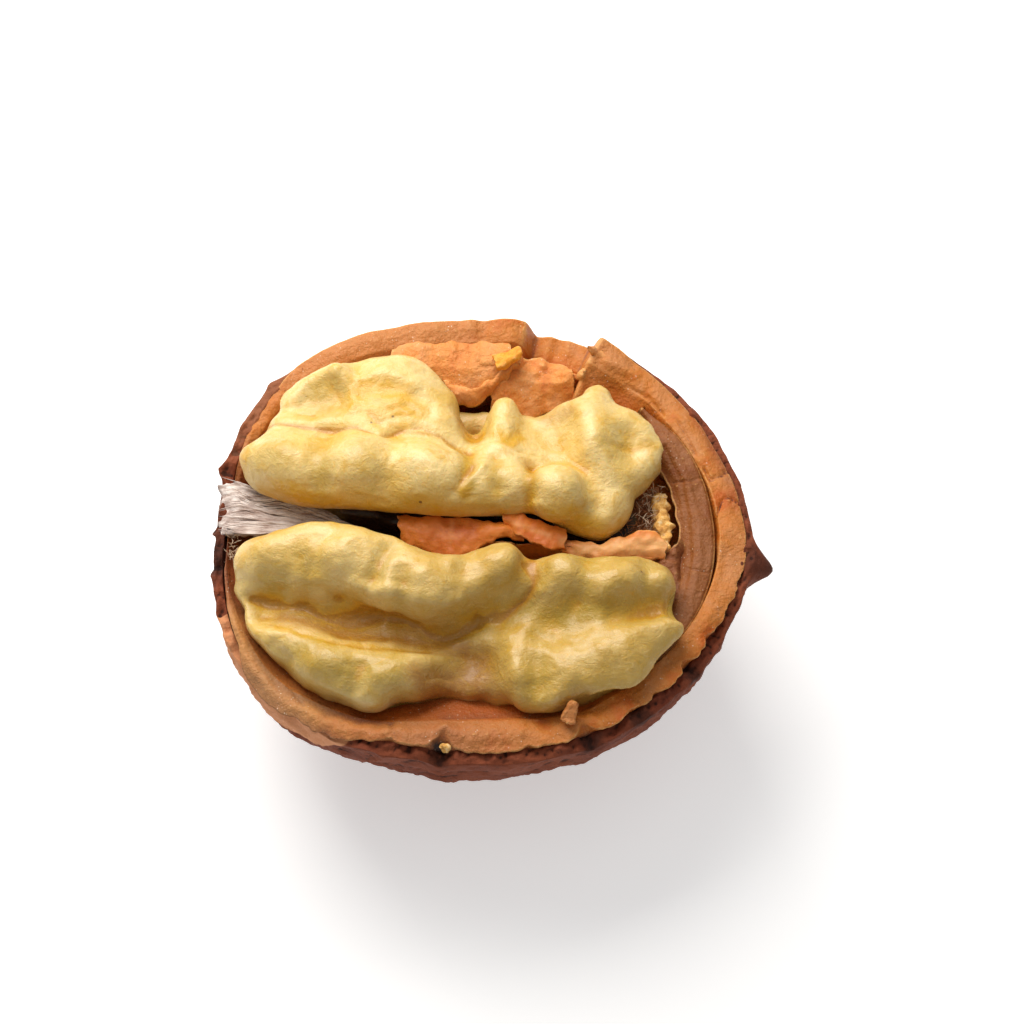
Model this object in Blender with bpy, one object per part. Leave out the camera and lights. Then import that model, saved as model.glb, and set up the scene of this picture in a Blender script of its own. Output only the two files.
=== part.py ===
"""Half of a cracked walnut with its kernel, lying on the round back of its shell.

Frame: metres, +Z up. The origin is the middle of the small flat that the shell rests on. +X runs along the
nut to its pointed tip, +Y points to the back wall. Lengths are written in millimetres times MM, and the
heights in the lists of stations are measured from the plane of the broken rim.
"""

import math

import bmesh
import bpy
from mathutils import Matrix, Vector

MM = 0.001

# The nut's outside, measured from the middle of the rim plane.
RIM_HEIGHT = 18.2 * MM
DEPTH = 18.55 * MM
STEM_REACH = 20.6 * MM
TIP_REACH = 19.7 * MM
BACK_REACH = 18.6 * MM
FRONT_REACH = 17.7 * MM
STEM_BLUNTNESS = 2.5
TIP_BLUNTNESS = 1.92
WALL_FULLNESS = 0.86
SUTURE_RIDGE = 0.35 * MM
POINT_LENGTH = 1.6 * MM
POINT_ANGLE = -0.105
POINT_SPREAD = 0.085
POINT_DROP = 0.05

# The shell's wall at the rim, as (angle round the rim in degrees from +X, thickness).
WALL_STATIONS = [
    (-180, 1.3 * MM), (-150, 1.7 * MM), (-125, 2.3 * MM), (-95, 3.2 * MM), (-70, 2.8 * MM), (-35, 2.4 * MM),
    (0, 2.3 * MM), (40, 2.4 * MM), (90, 2.2 * MM), (140, 1.9 * MM), (180, 1.3 * MM),
]
# The rim's height above or below its plane, round the same angle: the back wall has lost a chip.
RIM_STATIONS = [
    (-180, -1.2 * MM), (-150, -0.3 * MM), (-100, 0.1 * MM), (-40, 0.2 * MM), (0, 0.1 * MM), (50, 0.0 * MM),
    (62, 0.5 * MM), (65, -1.6 * MM), (78, -1.7 * MM), (81, 0.2 * MM), (120, 0.2 * MM), (150, -0.4 * MM),
    (180, -1.2 * MM),
]

CLEARANCE = 0.35 * MM
LINING_THICKNESS = 1.9 * MM
LINING_FROM = -44
LINING_TO = 40
LINING_DEPTH = 38
BACK_LINING_THICKNESS = 1.0 * MM
BACK_LINING_FROM = 62
BACK_LINING_TO = 114
KERNEL_VOXEL = 0.42 * MM
KERNEL_FACES = 3600
GAP_BACK = 1.5 * MM
GAP_FRONT = -1.9 * MM
STEM_SKEW = 0.11

KERNEL_YELLOW = (0.72, 0.53, 0.22)
SHELL_ORANGE = (0.56, 0.23, 0.08)
SHELL_BROWN = (0.16, 0.06, 0.035)
PARTITION_BROWN = (0.52, 0.19, 0.05)
FIBRE_WHITE = (0.62, 0.53, 0.48)
PITH_YELLOW = (0.66, 0.38, 0.14)


def mm(x, y, z):
    """A point given in millimetres from the middle of the rim plane."""
    return Vector((x, y, z)) * MM + Vector((0, 0, RIM_HEIGHT))


def clear_scene():
    for old in list(bpy.data.objects):
        bpy.data.objects.remove(old, do_unlink=True)


def finish_material(name, colour, roughness):
    material = bpy.data.materials.new(name)
    material.use_nodes = True
    shader = material.node_tree.nodes["Principled BSDF"]
    shader.inputs["Base Color"].default_value = (*colour, 1)
    shader.inputs["Roughness"].default_value = roughness
    shader.inputs["Metallic"].default_value = 0
    material.diffuse_color = (*colour, 1)
    return material


def make_object(name, bm, material):
    """A bmesh as a named, smooth-shaded object."""
    mesh = bpy.data.meshes.new(name)
    bm.to_mesh(mesh)
    bm.free()
    mesh.shade_smooth()
    mesh.set_sharp_from_angle(angle=math.radians(50))
    mesh.materials.append(material)
    obj = bpy.data.objects.new(name, mesh)
    bpy.context.scene.collection.objects.link(obj)
    return obj


def between(stations, at):
    """A smooth value between stations of (place, value), in rising order of place."""
    for (start, low), (end, high) in zip(stations, stations[1:]):
        if at <= end:
            share = max(0.0, min(1.0, (at - start) / (end - start)))
            return low + (high - low) * share * share * (3 - 2 * share)
    return stations[-1][1]


# ---- the walnut's outside, as one surface that every wall is measured from ----

def outline_radius(angle, inset):
    """The rim outline's radius at an angle in radians: blunt at the stem end, tapering to the tip."""
    along, across = math.cos(angle), math.sin(angle)
    reach = (TIP_REACH if along > 0 else STEM_REACH) - inset
    width = (BACK_REACH if across > 0 else FRONT_REACH) - inset
    share = (1 + along) / 2
    power = STEM_BLUNTNESS + (TIP_BLUNTNESS - STEM_BLUNTNESS) * share * share * (3 - 2 * share)
    return (abs(along / reach) ** power + abs(across / width) ** power) ** (-1 / power)


def bowl_point(angle, drop, inset):
    """A point of the bowl: drop is 0 at the rim and a quarter turn at the bottom."""
    radius = outline_radius(angle, inset) * math.cos(drop) ** WALL_FULLNESS
    height = -(DEPTH - inset) * math.sin(drop)
    return Vector((radius * math.cos(angle), radius * math.sin(angle), RIM_HEIGHT + height))


def outside_point(angle, drop):
    """The bowl's outside with the ridge along the broken suture and the point at the tip."""
    swell = SUTURE_RIDGE * math.exp(-((drop / 0.10) ** 2))
    aside, below = (angle - POINT_ANGLE) / POINT_SPREAD, (drop - POINT_DROP) / POINT_SPREAD
    point = POINT_LENGTH * math.exp(-aside * aside - below * below)
    ripple = 0.22 * MM * math.sin(7 * angle + 2 * drop) * math.sin(2 * drop)
    return bowl_point(angle, drop, -(swell + point + ripple))


def wall_at(angle):
    return between(WALL_STATIONS, math.degrees(angle))


def rim_lift(angle):
    return between(RIM_STATIONS, math.degrees(angle))


# ---- shell ----

def shell_half(material):
    """The half shell: an outer and an inner bowl joined by the broken rim, with a small flat to rest on."""
    bm = bmesh.new()
    rims = []
    for inner in (False, True):
        ball = bmesh.ops.create_uvsphere(bm, u_segments=88, v_segments=26, radius=1)["verts"]
        upper = [v for v in ball if v.co.z > 0.001]
        bmesh.ops.delete(bm, geom=upper, context="VERTS")
        bowl = [v for v in ball if v.is_valid]
        rims.append([v for v in bowl if abs(v.co.z) < 0.001])
        for v in bowl:
            angle = math.atan2(v.co.y, v.co.x)
            drop = math.asin(max(0.0, min(1.0, -v.co.z)))
            if inner:
                v.co = bowl_point(angle, drop, wall_at(angle) + 0.5 * MM * math.sin(drop))
            else:
                v.co = outside_point(angle, drop)
            v.co.z += rim_lift(angle) * math.cos(drop) ** 6
        if inner:
            faces = [f for f in bm.faces if f.verts[0] in set(bowl)]
            bmesh.ops.reverse_faces(bm, faces=faces)
    edges = [e for e in bm.edges if e.is_boundary]
    bmesh.ops.bridge_loops(bm, edges=edges)
    for v in bm.verts:
        v.co.z = max(v.co.z, 0.0)
    bmesh.ops.dissolve_degenerate(bm, edges=bm.edges, dist=0.01 * MM)
    bmesh.ops.recalc_face_normals(bm, faces=bm.faces)
    return make_object("shell_half", bm, material)


def loft(bm, rings):
    """A closed solid through rings of points, each ring with the same count, capped at both ends."""
    loops = []
    for ring in rings:
        verts = [bm.verts.new(point) for point in ring]
        edges = [bm.edges.new((a, b)) for a, b in zip(verts, verts[1:] + verts[:1])]
        loops.append((verts, edges))
    for (_, first), (_, second) in zip(loops, loops[1:]):
        bmesh.ops.bridge_loops(bm, edges=first + second)
    bm.faces.new(loops[0][0])
    bm.faces.new(loops[-1][0])
    bmesh.ops.recalc_face_normals(bm, faces=bm.faces)


def sheet_rings(stations, thickness):
    """Rings for a bent sheet: each station is a row of points, offset both ways along +Z or outwards."""
    rings = []
    for row, direction in stations:
        lift = direction * thickness / 2
        rings.append([p + lift for p in row] + [p - lift for p in reversed(row)])
    return rings


def wall_layer(name, material, from_deg, to_deg, gap, thickness, top_drop, bottom_drop, steps=18):
    """A piece of the shell's inner layer, following the wall at a small gap."""
    bm = bmesh.new()
    rings = []
    for i in range(steps + 1):
        share = i / steps
        angle = math.radians(from_deg + (to_deg - from_deg) * share)
        fade = max(0.12, math.sin(math.pi * share) ** 0.6)
        top = top_drop(share)
        bottom = top + (bottom_drop - top) * fade
        rows = [top + (bottom - top) * k / 4 for k in range(5)]
        outer = [layer_point(angle, drop, gap) for drop in rows]
        inner = [layer_point(angle, drop, gap + thickness * (0.35 + 0.65 * fade)) for drop in rows]
        rings.append(outer + inner[::-1])
    loft(bm, rings)
    return make_object(name, bm, material)


def layer_point(angle, drop, gap):
    """A point inside the shell's wall, as far in from the wall's inner face as gap."""
    inset = wall_at(angle) + 0.5 * MM * math.sin(drop) + gap
    point = bowl_point(angle, drop, inset)
    point.z += rim_lift(angle) * math.cos(drop) ** 6
    return point


# ---- kernel ----

def ball(bm, at, radius):
    bmesh.ops.create_icosphere(bm, subdivisions=2, radius=radius, matrix=Matrix.Translation(at))


def ridge(bm, stations):
    """A rounded lobe: balls close together along a path of (x, y, z, radius) stations in millimetres."""
    for start, end in zip(stations, stations[1:]):
        a, b = Vector(start), Vector(end)
        count = max(2, math.ceil((b - a).to_3d().length / (0.35 * min(start[3], end[3]))))
        for i in range(count):
            x, y, z, radius = a.lerp(b, i / count)
            ball(bm, mm(x, y, z), radius * MM)
    x, y, z, radius = stations[-1]
    ball(bm, mm(x, y, z), radius * MM)


def kernel_base(bm, side, limit, top, air):
    """The kernel half's body below the rim, filling its side of the bowl up to the partition."""
    verts = bmesh.ops.create_uvsphere(bm, u_segments=64, v_segments=32, radius=1)["verts"]
    for v in verts:
        angle = math.atan2(v.co.y, v.co.x)
        drop = math.asin(max(0.0, min(1.0, -v.co.z)))
        v.co = bowl_point(angle, drop, kernel_inset(angle) + air)
        v.co.z = min(v.co.z, RIM_HEIGHT + top)
    geometry = verts + list({e for v in verts for e in v.link_edges} | {f for v in verts for f in v.link_faces})
    facing = (STEM_SKEW, 1, 0) if side > 0 else (0, -1, 0)
    cut = bmesh.ops.bisect_plane(bm, geom=geometry, plane_co=(0, limit, 0), plane_no=facing, clear_inner=True)
    seam = [e for e in cut["geom_cut"] if isinstance(e, bmesh.types.BMEdge)]
    bmesh.ops.holes_fill(bm, edges=seam)


def kernel_inset(angle):
    """How far in from the outside the kernel stays: the wall, the tip's lining and a little air."""
    layer = between([
        (LINING_FROM - 9, 0.0), (LINING_FROM + 1, 0.6 * LINING_THICKNESS + CLEARANCE),
        (LINING_FROM + 13, LINING_THICKNESS + CLEARANCE),
        (LINING_TO - 6, LINING_THICKNESS + CLEARANCE), (LINING_TO + 10, 0.4 * MM),
        (BACK_LINING_FROM + 4, BACK_LINING_THICKNESS + CLEARANCE),
        (BACK_LINING_TO - 4, BACK_LINING_THICKNESS + CLEARANCE), (BACK_LINING_TO + 6, 0.0),
    ], math.degrees(angle))
    return wall_at(angle) + 0.75 * MM + layer


def keep_off_wall(obj):
    """Moves points below the rim inwards where a lobe would touch the shell or its lining."""
    for v in obj.data.vertices:
        below = RIM_HEIGHT + 1.2 * MM - v.co.z
        if below <= 0:
            continue
        angle = math.atan2(v.co.y, v.co.x)
        inset = kernel_inset(angle) - 0.35 * MM
        share = min(1.0, max(0.0, RIM_HEIGHT - v.co.z) / (DEPTH - inset))
        limit = outline_radius(angle, inset) * math.cos(math.asin(share)) ** WALL_FULLNESS
        reach = math.hypot(v.co.x, v.co.y)
        if reach > limit:
            v.co.x *= limit / reach
            v.co.y *= limit / reach


def merge_lobes(name, bm, material, faces):
    """Overlapping lobes as one smooth closed skin, thinned to about the given number of triangles."""
    rough = make_object(name + "_lobes", bm, material)
    remesh = rough.modifiers.new("one_skin", "REMESH")
    remesh.mode = "VOXEL"
    remesh.voxel_size = KERNEL_VOXEL
    relax = rough.modifiers.new("relax", "SMOOTH")
    relax.factor = 0.5
    relax.iterations = 7
    graph = bpy.context.evaluated_depsgraph_get()
    mesh = bpy.data.meshes.new_from_object(rough.evaluated_get(graph))
    mesh.name = name
    bpy.data.objects.remove(rough, do_unlink=True)
    obj = bpy.data.objects.new(name, mesh)
    bpy.context.scene.collection.objects.link(obj)
    mesh.shade_smooth()
    keep_off_wall(obj)
    thin = obj.modifiers.new("fewer_faces", "DECIMATE")
    thin.ratio = faces / (2 * len(mesh.polygons))
    return obj


def kernel_back(material):
    bm = bmesh.new()
    kernel_base(bm, 1, GAP_BACK, -2.6 * MM, 1.9 * MM)
    # The long ridge beside the partition, from the stem end to the middle.
    ridge(bm, [
        (-16.5, 5.5, 0.7, 2.3), (-14.2, 4.9, 1.3, 2.7), (-10.7, 4.3, 1.7, 2.9), (-6.6, 4.0, 1.9, 2.9),
        (-2.8, 3.6, 1.9, 2.7), (0.0, 3.2, 1.5, 2.4), (1.8, 3.0, 0.9, 2.1),
    ])
    # The round ball in front of the tip's lobe, and the low lobe beside it.
    ridge(bm, [(5.3, 2.4, 2.0, 2.4), (5.6, 2.5, 2.0, 2.4)])
    ridge(bm, [(6.4, 2.4, 0.1, 2.2), (8.3, 1.9, 0.1, 2.2), (9.3, 2.4, 0.0, 2.0)])
    # The broad lobe along the back wall at the stem end, and its slope down to the ridge.
    ridge(bm, [
        (-14.9, 10.6, -0.2, 2.2), (-12.2, 11.6, 0.2, 2.6), (-9.1, 12.3, 0.5, 2.6), (-6.2, 12.2, 0.4, 2.7),
        (-4.4, 10.6, 0.1, 2.4),
    ])
    ridge(bm, [(-14.6, 8.3, -0.1, 2.4), (-11.3, 8.8, 0.5, 2.6), (-6.9, 9.2, 0.6, 2.8), (-3.6, 7.9, 0.4, 2.3)])
    # The finger that stands between the two back lobes, and the saddle that joins it to the ridge.
    ridge(bm, [(1.3, 10.2, 0.9, 1.3), (1.1, 8.8, 0.8, 1.6), (0.8, 6.8, 0.7, 2.0), (0.6, 5.2, 0.7, 2.3)])
    ridge(bm, [(-2.6, 6.6, -0.6, 2.2), (0.8, 6.2, -0.1, 2.3), (3.8, 5.8, -0.4, 2.2), (6.3, 5.2, 0.0, 2.2)])
    # The pointed lobe at the tip end, with its web to the finger and its shoulder to the tip.
    ridge(bm, [(8.5, 11.4, 0.6, 1.4), (8.2, 9.3, 1.0, 1.9), (8.5, 6.7, 1.3, 2.4), (9.3, 4.6, 0.6, 2.2)])
    ridge(bm, [(8.8, 9.2, 0.6, 1.8), (10.9, 8.1, 0.4, 2.1), (12.0, 6.6, 0.2, 2.0), (10.8, 5.0, 0.0, 1.9)])
    ridge(bm, [(2.4, 8.2, -0.7, 1.8), (4.7, 8.3, -0.3, 1.9), (6.6, 8.2, 0.3, 2.0)])
    return merge_lobes("kernel_back", bm, material, KERNEL_FACES)


def kernel_front(material):
    bm = bmesh.new()
    kernel_base(bm, -1, GAP_FRONT, -3.2 * MM, 0.0)
    # The ridge beside the partition, ending in a knob that overhangs the middle.
    ridge(bm, [
        (-17.6, -2.2, 0.6, 1.6), (-15.9, -2.7, 0.9, 2.3), (-13.1, -2.6, 1.5, 2.8), (-10.1, -2.9, 1.8, 2.9),
        (-6.8, -4.6, 1.9, 2.9), (-4.0, -5.2, 1.9, 2.7), (-1.6, -5.0, 2.0, 2.4), (0.6, -3.8, 2.4, 2.0),
        (1.3, -3.4, 2.6, 1.9),
    ])
    # The low lobe along the front wall at the stem end.
    ridge(bm, [
        (-17.0, -4.6, -0.6, 1.6), (-16.8, -6.6, -0.8, 1.6), (-14.6, -8.8, -0.7, 2.1), (-11.4, -10.7, -0.5, 2.5), (-8.2, -11.6, -0.4, 2.6),
        (-5.6, -11.2, -0.7, 2.4), (-3.9, -9.9, -1.2, 2.1),
    ])
    # The smooth trough between them, and the hollow beside the broad mass.
    ridge(bm, [(-14.6, -6.4, -0.7, 2.0), (-10.2, -7.2, -1.0, 2.1), (-6.4, -7.9, -1.1, 2.2), (-2.5, -8.6, -1.4, 2.1)])
    ridge(bm, [(-3.4, -10.4, -1.9, 2.2), (0.4, -11.0, -2.2, 2.2), (0.4, -8.8, -1.6, 2.2)])
    ridge(bm, [(-0.8, -7.6, -0.9, 2.2), (1.6, -7.4, -0.6, 2.2), (2.6, -6.0, 0.1, 2.2)])
    # The broad mass at the tip end: an upper row of domes beside the partition and a lower row by the wall.
    ridge(bm, [(4.4, -4.9, 1.1, 2.6), (7.3, -5.6, 1.5, 2.9), (10.4, -5.0, 1.4, 2.6), (12.3, -4.9, 1.0, 2.1)])
    ridge(bm, [(2.6, -9.2, -0.3, 2.3), (3.4, -11.8, -0.4, 2.4), (6.6, -11.4, 0.0, 2.8), (10.0, -10.2, 0.2, 2.8)])
    ridge(bm, [(10.0, -10.2, 0.2, 2.8), (12.5, -8.2, 0.2, 2.4), (13.0, -6.2, 0.2, 2.0)])
    ridge(bm, [(5.0, -7.8, 0.0, 2.6), (8.4, -7.4, 0.0, 2.7), (10.6, -6.8, 0.2, 2.4)])
    return merge_lobes("kernel_front", bm, material, KERNEL_FACES)


# ---- the papery and fibrous tissue ----

def partition(material):
    """The papery partition: a thin web standing between the kernel halves, with its torn top bent over."""
    stations = [
        # x, y, top, reach of the bent top to the front, reach to the back, foot of the web
        (-6.5, -0.1, 0.3, 0.5, 0.9, -8.0), (-5.6, -0.3, 0.5, 0.8, 1.1, -9.5), (-4.2, -0.6, 0.5, 1.1, 1.2, -10.5),
        (-2.2, -0.9, 0.3, 1.0, 1.3, -12.0), (-0.4, -0.7, 0.4, 0.6, 1.3, -12.5), (1.4, -0.2, 0.6, 0.7, 0.9, -12.5),
        (3.0, -0.4, 0.3, 1.1, 0.7, -12.5), (5.0, -0.9, 0.0, 0.9, 0.6, -11.5), (7.0, -1.0, 0.3, 1.0, 0.7, -11.0),
        (9.5, -1.1, 0.4, 0.8, 0.9, -9.0), (12.1, -1.0, 0.2, 0.4, 0.7, -2.5),
    ]
    half, sheet = 0.2, 0.5
    rings = []
    for x, y, top, front, back, foot in stations:
        section = [
            (-front, top - sheet), (-front, top), (0, top + 0.15), (back, top), (back, top - sheet),
            (half, top - sheet), (half, foot), (-half, foot), (-half, top - sheet),
        ]
        rings.append([mm(x, y + across, height) for across, height in section])
    bm = bmesh.new()
    loft(bm, rings)
    return make_object("partition", bm, material)


def stem_fibres(material):
    """The white fibres at the stem end: a fan that narrows and sinks into the gap between the halves."""
    stations = [
        # x, middle y, half width, top, thickness
        (-18.6, 2.7, 1.9, -1.0, 1.0), (-17.0, 2.2, 1.5, -1.3, 1.1), (-14.6, 1.7, 1.2, -1.7, 1.1),
        (-11.6, 1.1, 0.9, -2.2, 1.0), (-9.0, 0.8, 0.6, -2.9, 0.9), (-7.2, 0.6, 0.4, -3.6, 0.7),
    ]
    rings = []
    for x, y, half, top, thick in stations:
        section = [(-half, top - thick), (-half, top), (0, top - 0.25), (half, top), (half, top - thick)]
        rings.append([mm(x, y + across, height) for across, height in section])
    bm = bmesh.new()
    loft(bm, rings)
    return make_object("stem_fibres", bm, material)


def tip_pith(material):
    """The ragged strip of pith that stands where the partition met the wall at the pointed end."""
    stations = [
        # x, y, top, half width, foot
        (13.3, 4.0, -1.3, 0.3, -3.0), (13.4, 3.0, -0.9, 0.4, -3.8), (13.5, 1.8, -0.5, 0.45, -4.4),
        (13.5, 0.4, -0.4, 0.5, -4.6), (13.5, -0.8, -0.5, 0.45, -4.2), (13.4, -2.0, -0.9, 0.35, -3.2),
    ]
    lean = 0.9
    rings = []
    for x, y, top, half, foot in stations:
        section = [(-half - lean, foot), (-half, top), (half, top + 0.15), (half - lean, foot)]
        rings.append([mm(x + across, y, height) for across, height in section])
    bm = bmesh.new()
    loft(bm, rings)
    return make_object("tip_pith", bm, material)


def small_piece(name, material, at, size, turn, tilt, lean=0.0):
    """A small broken flake: a bevelled wedge, thinner at one end."""
    bm = bmesh.new()
    bmesh.ops.create_cube(bm, size=1)
    for v in bm.verts:
        if v.co.x > 0:
            v.co.y *= 0.45
            v.co.z *= 0.4
    bmesh.ops.bevel(
        bm, geom=bm.edges, offset=0.12, affect="EDGES", segments=2, profile=0.5, material=-1, clamp_overlap=True,
    )
    bmesh.ops.scale(bm, vec=Vector(size) * MM, verts=bm.verts)
    turned = Matrix.Rotation(math.radians(turn), 4, "Z") @ Matrix.Rotation(math.radians(tilt), 4, "Y")
    leaned = turned @ Matrix.Rotation(math.radians(lean), 4, "X")
    bmesh.ops.transform(bm, matrix=Matrix.Translation(mm(*at)) @ leaned, verts=bm.verts)
    return make_object(name, bm, material)


def main():
    clear_scene()
    shell = finish_material("shell", SHELL_BROWN, 0.7)
    lining = finish_material("shell_lining", SHELL_ORANGE, 0.55)
    kernel = finish_material("kernel", KERNEL_YELLOW, 0.4)
    paper = finish_material("partition_paper", PARTITION_BROWN, 0.5)
    fibre = finish_material("fibre", FIBRE_WHITE, 0.7)
    pith = finish_material("pith", PITH_YELLOW, 0.85)

    shell_half(shell)
    wall_layer(
        "tip_lining", lining, LINING_FROM, LINING_TO, CLEARANCE, LINING_THICKNESS,
        lambda share: 0.02, math.radians(LINING_DEPTH),
    )
    wall_layer(
        "back_lining", lining, BACK_LINING_FROM, BACK_LINING_TO, CLEARANCE, BACK_LINING_THICKNESS,
        lambda share: 0.03, math.radians(22), steps=14,
    )
    kernel_back(kernel)
    kernel_front(kernel)
    partition(paper)
    stem_fibres(fibre)
    tip_pith(pith)
    small_piece("curled_flake", lining, (1.6, 15.1, 0.6), (2.4, 1.6, 0.9), 20, -15)
    small_piece("front_chip", lining, (6.4, -14.6, 1.1), (1.6, 1.4, 0.9), 70, -35)


main()
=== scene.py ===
# %% [markdown]
# # Half of a cracked walnut
# A walnut splits along its seam into two bowls. This half lies on its round back, so we look down on the two
# lobes of pale kernel, the papery partition between them and the broken, orange-tan edge of the shell.
# The measured model is loaded first: every visible piece is then made around it, in the same metres.

# %% Load the measured frame
import math
import random

import bmesh
import bpy
import numpy as np
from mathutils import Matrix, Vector


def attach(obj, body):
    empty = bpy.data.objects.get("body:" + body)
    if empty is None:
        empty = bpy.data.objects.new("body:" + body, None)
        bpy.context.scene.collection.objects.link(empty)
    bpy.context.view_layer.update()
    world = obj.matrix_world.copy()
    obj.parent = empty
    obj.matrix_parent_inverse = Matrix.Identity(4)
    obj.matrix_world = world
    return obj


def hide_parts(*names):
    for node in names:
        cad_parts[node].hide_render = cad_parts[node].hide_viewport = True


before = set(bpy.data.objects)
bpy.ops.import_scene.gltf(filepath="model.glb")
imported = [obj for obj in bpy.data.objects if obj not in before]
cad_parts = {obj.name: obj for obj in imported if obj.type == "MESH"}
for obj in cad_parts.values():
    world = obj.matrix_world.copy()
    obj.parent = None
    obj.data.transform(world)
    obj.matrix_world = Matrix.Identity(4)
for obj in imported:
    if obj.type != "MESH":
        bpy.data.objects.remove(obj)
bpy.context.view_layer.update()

MM = 0.001

# %% [markdown]
# Heights are easiest to think about from the plane of the broken rim, so every point below is written in
# millimetres from the middle of that plane. `between` reads a smooth value off a short list of stations; it is
# used for everything that changes round the rim.

# %% Points and stations
RIM_HEIGHT = 18.2


def at(x, y, z):
    """A point in metres from millimetres measured from the middle of the rim plane."""
    return Vector((x, y, z + RIM_HEIGHT)) * MM


def smooth(share):
    """0 to 1 with a soft start and end."""
    share = np.clip(share, 0.0, 1.0)
    return share * share * (3 - 2 * share)


def between(stations, place):
    """Smooth values between (place, value) stations in rising order of place."""
    places, values = (np.array(column, float) for column in zip(*stations))
    after = np.clip(np.searchsorted(places, place), 1, len(places) - 1)
    share = smooth((place - places[after - 1]) / (places[after] - places[after - 1]))
    return values[after - 1] * (1 - share) + values[after] * share


def wobble(points, size, seed):
    """Smooth noise of about -1 to 1 at millimetre points; size is the width of a swell."""
    draw = random.Random(seed)
    total = 0.0
    for _ in range(14):
        wave = np.array([draw.gauss(0, 1) for _ in range(3)])
        wave *= math.pi / size * draw.uniform(0.55, 1.6) / np.linalg.norm(wave)
        total = total + np.sin(points @ wave + draw.uniform(0, 2 * math.pi))
    return total / 3.6


# %% [markdown]
# Materials are sums of noises and masks. Wrapping a shader socket in a small class lets those sums be written
# as ordinary Python: `1 - mask` adds a Math node, and `cream.toward(gold, mask)` mixes two colours.

# %% A socket that takes part in sums
class Sock:
    """A shader socket. Arithmetic on it adds Math nodes; node() adds any other node."""

    def __init__(self, tree, socket):
        self.tree = tree
        self.socket = socket

    def node(self, kind, settings=None, inputs=None, output=0):
        made = self.tree.nodes.new(kind)
        for name, value in (settings or {}).items():
            if name == "stops":
                while len(made.color_ramp.elements) < len(value):
                    made.color_ramp.elements.new(0.5)
                for element, (place, colour) in zip(made.color_ramp.elements, value):
                    element.position = place
                    element.color = (*colour, 1)
            else:
                setattr(made, name, value)
        for name, value in (inputs or {}).items():
            if isinstance(value, Sock):
                self.tree.links.new(value.socket, made.inputs[name])
            else:
                made.inputs[name].default_value = value
        return Sock(self.tree, made.outputs[output])

    def math(self, operation, *values):
        return self.node("ShaderNodeMath", {"operation": operation}, dict(enumerate(values)))

    def __add__(self, other):
        return self.math("ADD", self, other)

    def __sub__(self, other):
        return self.math("SUBTRACT", self, other)

    def __rsub__(self, other):
        return self.math("SUBTRACT", other, self)

    def __mul__(self, other):
        return self.math("MULTIPLY", self, other)

    __radd__ = __add__
    __rmul__ = __mul__

    def ramp(self, low, high):
        """0 below low, 1 above high and smooth between; low may be the larger."""
        return self.node(
            "ShaderNodeMapRange", {"interpolation_type": "SMOOTHSTEP"},
            {"Value": self, "From Min": low, "From Max": high},
        )

    def toward(self, colour, factor):
        """This colour mixed with another by a factor."""
        other = colour if isinstance(colour, Sock) else (*colour, 1)
        return self.node("ShaderNodeMix", {"data_type": "RGBA"}, {0: factor, 6: self, 7: other}, output=2)

    def speckle(self, size, detail=2, rough=0.5, warp=0.0):
        """Noise over this vector, with features of about the given size in millimetres."""
        return self.node(
            "ShaderNodeTexNoise", {},
            {"Vector": self, "Scale": 1 / (size * MM), "Detail": detail, "Roughness": rough, "Distortion": warp},
        )

    def cells(self, size):
        """The distance to the nearest of many scattered points, spaced by the given size in millimetres."""
        return self.node("ShaderNodeTexVoronoi", {}, {"Vector": self, "Scale": 1 / (size * MM)}, output="Distance")

    def blend(self, *stops):
        """Colours along this value, each stop (value, colour)."""
        return self.node("ShaderNodeValToRGB", {"stops": stops}, {"Fac": self})

    def stretched(self, x, y, z, turn=0.0):
        """This vector squeezed along each axis, after a turn about +Z in degrees."""
        return self.node(
            "ShaderNodeMapping", {}, {"Vector": self, "Rotation": (0, 0, math.radians(turn)), "Scale": (x, y, z)},
        )


def new_finish(name):
    """An empty Principled material: its shader, its object coordinates and a reader of painted masks."""
    material = bpy.data.materials.new(name)
    material.use_nodes = True
    tree = material.node_tree
    shader = tree.nodes["Principled BSDF"]
    place = Sock(tree, tree.nodes.new("ShaderNodeTexCoord").outputs["Object"])

    def painted(mask):
        return place.node("ShaderNodeAttribute", {"attribute_name": mask}, output="Fac")

    return material, shader, place, painted


def wire(shader, colour=None, rough=None, relief=None, depth=0.1, fixed=None):
    """Joins what varies to the shader; depth is the bump's height in millimetres; fixed values go on sockets."""
    tree = shader.id_data
    if colour:
        tree.links.new(colour.socket, shader.inputs["Base Color"])
    if rough:
        tree.links.new(rough.socket, shader.inputs["Roughness"])
    if relief:
        bump = relief.node("ShaderNodeBump", {}, {"Height": relief, "Distance": depth * MM, "Strength": 1.0})
        tree.links.new(bump.socket, shader.inputs["Normal"])
    for name, value in (fixed or {}).items():
        shader.inputs[name].default_value = value


# %% [markdown]
# ## Finishes
# ** Kernel.** Fresh walnut flesh is waxy: pale cream on the lobes, golden where the skin gathers in creases, with
# a few brown pinpricks. The creases come from masks that are worked out from the mesh, so
# the colour follows the modelled shape. The gold and amber in the creases are partly the skin's colour and partly
# painted shade; the olive in the broad valleys, the shade across each half and the dark deep between the halves are
# painted shade, and the pale patches on the tops are painted highlights. A little light passes through it, which is
# the subsurface weight.

# %% Kernel finish
KERNEL_CREAM = (0.76, 0.50, 0.120)
KERNEL_PALE = (0.88, 0.68, 0.31)
KERNEL_GOLD = (0.72, 0.38, 0.012)
KERNEL_AMBER = (0.42, 0.17, 0.010)
KERNEL_OLIVE = (0.40, 0.25, 0.018)
KERNEL_TAN = (0.41, 0.18, 0.032)
KERNEL_SHADE = (0.50, 0.30, 0.045)
# the colour of the painted shade deep between the halves
KERNEL_PAINTED_SHADOW = (0.045, 0.018, 0.007)
KERNEL_BROWN = (0.13, 0.055, 0.02)


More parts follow.
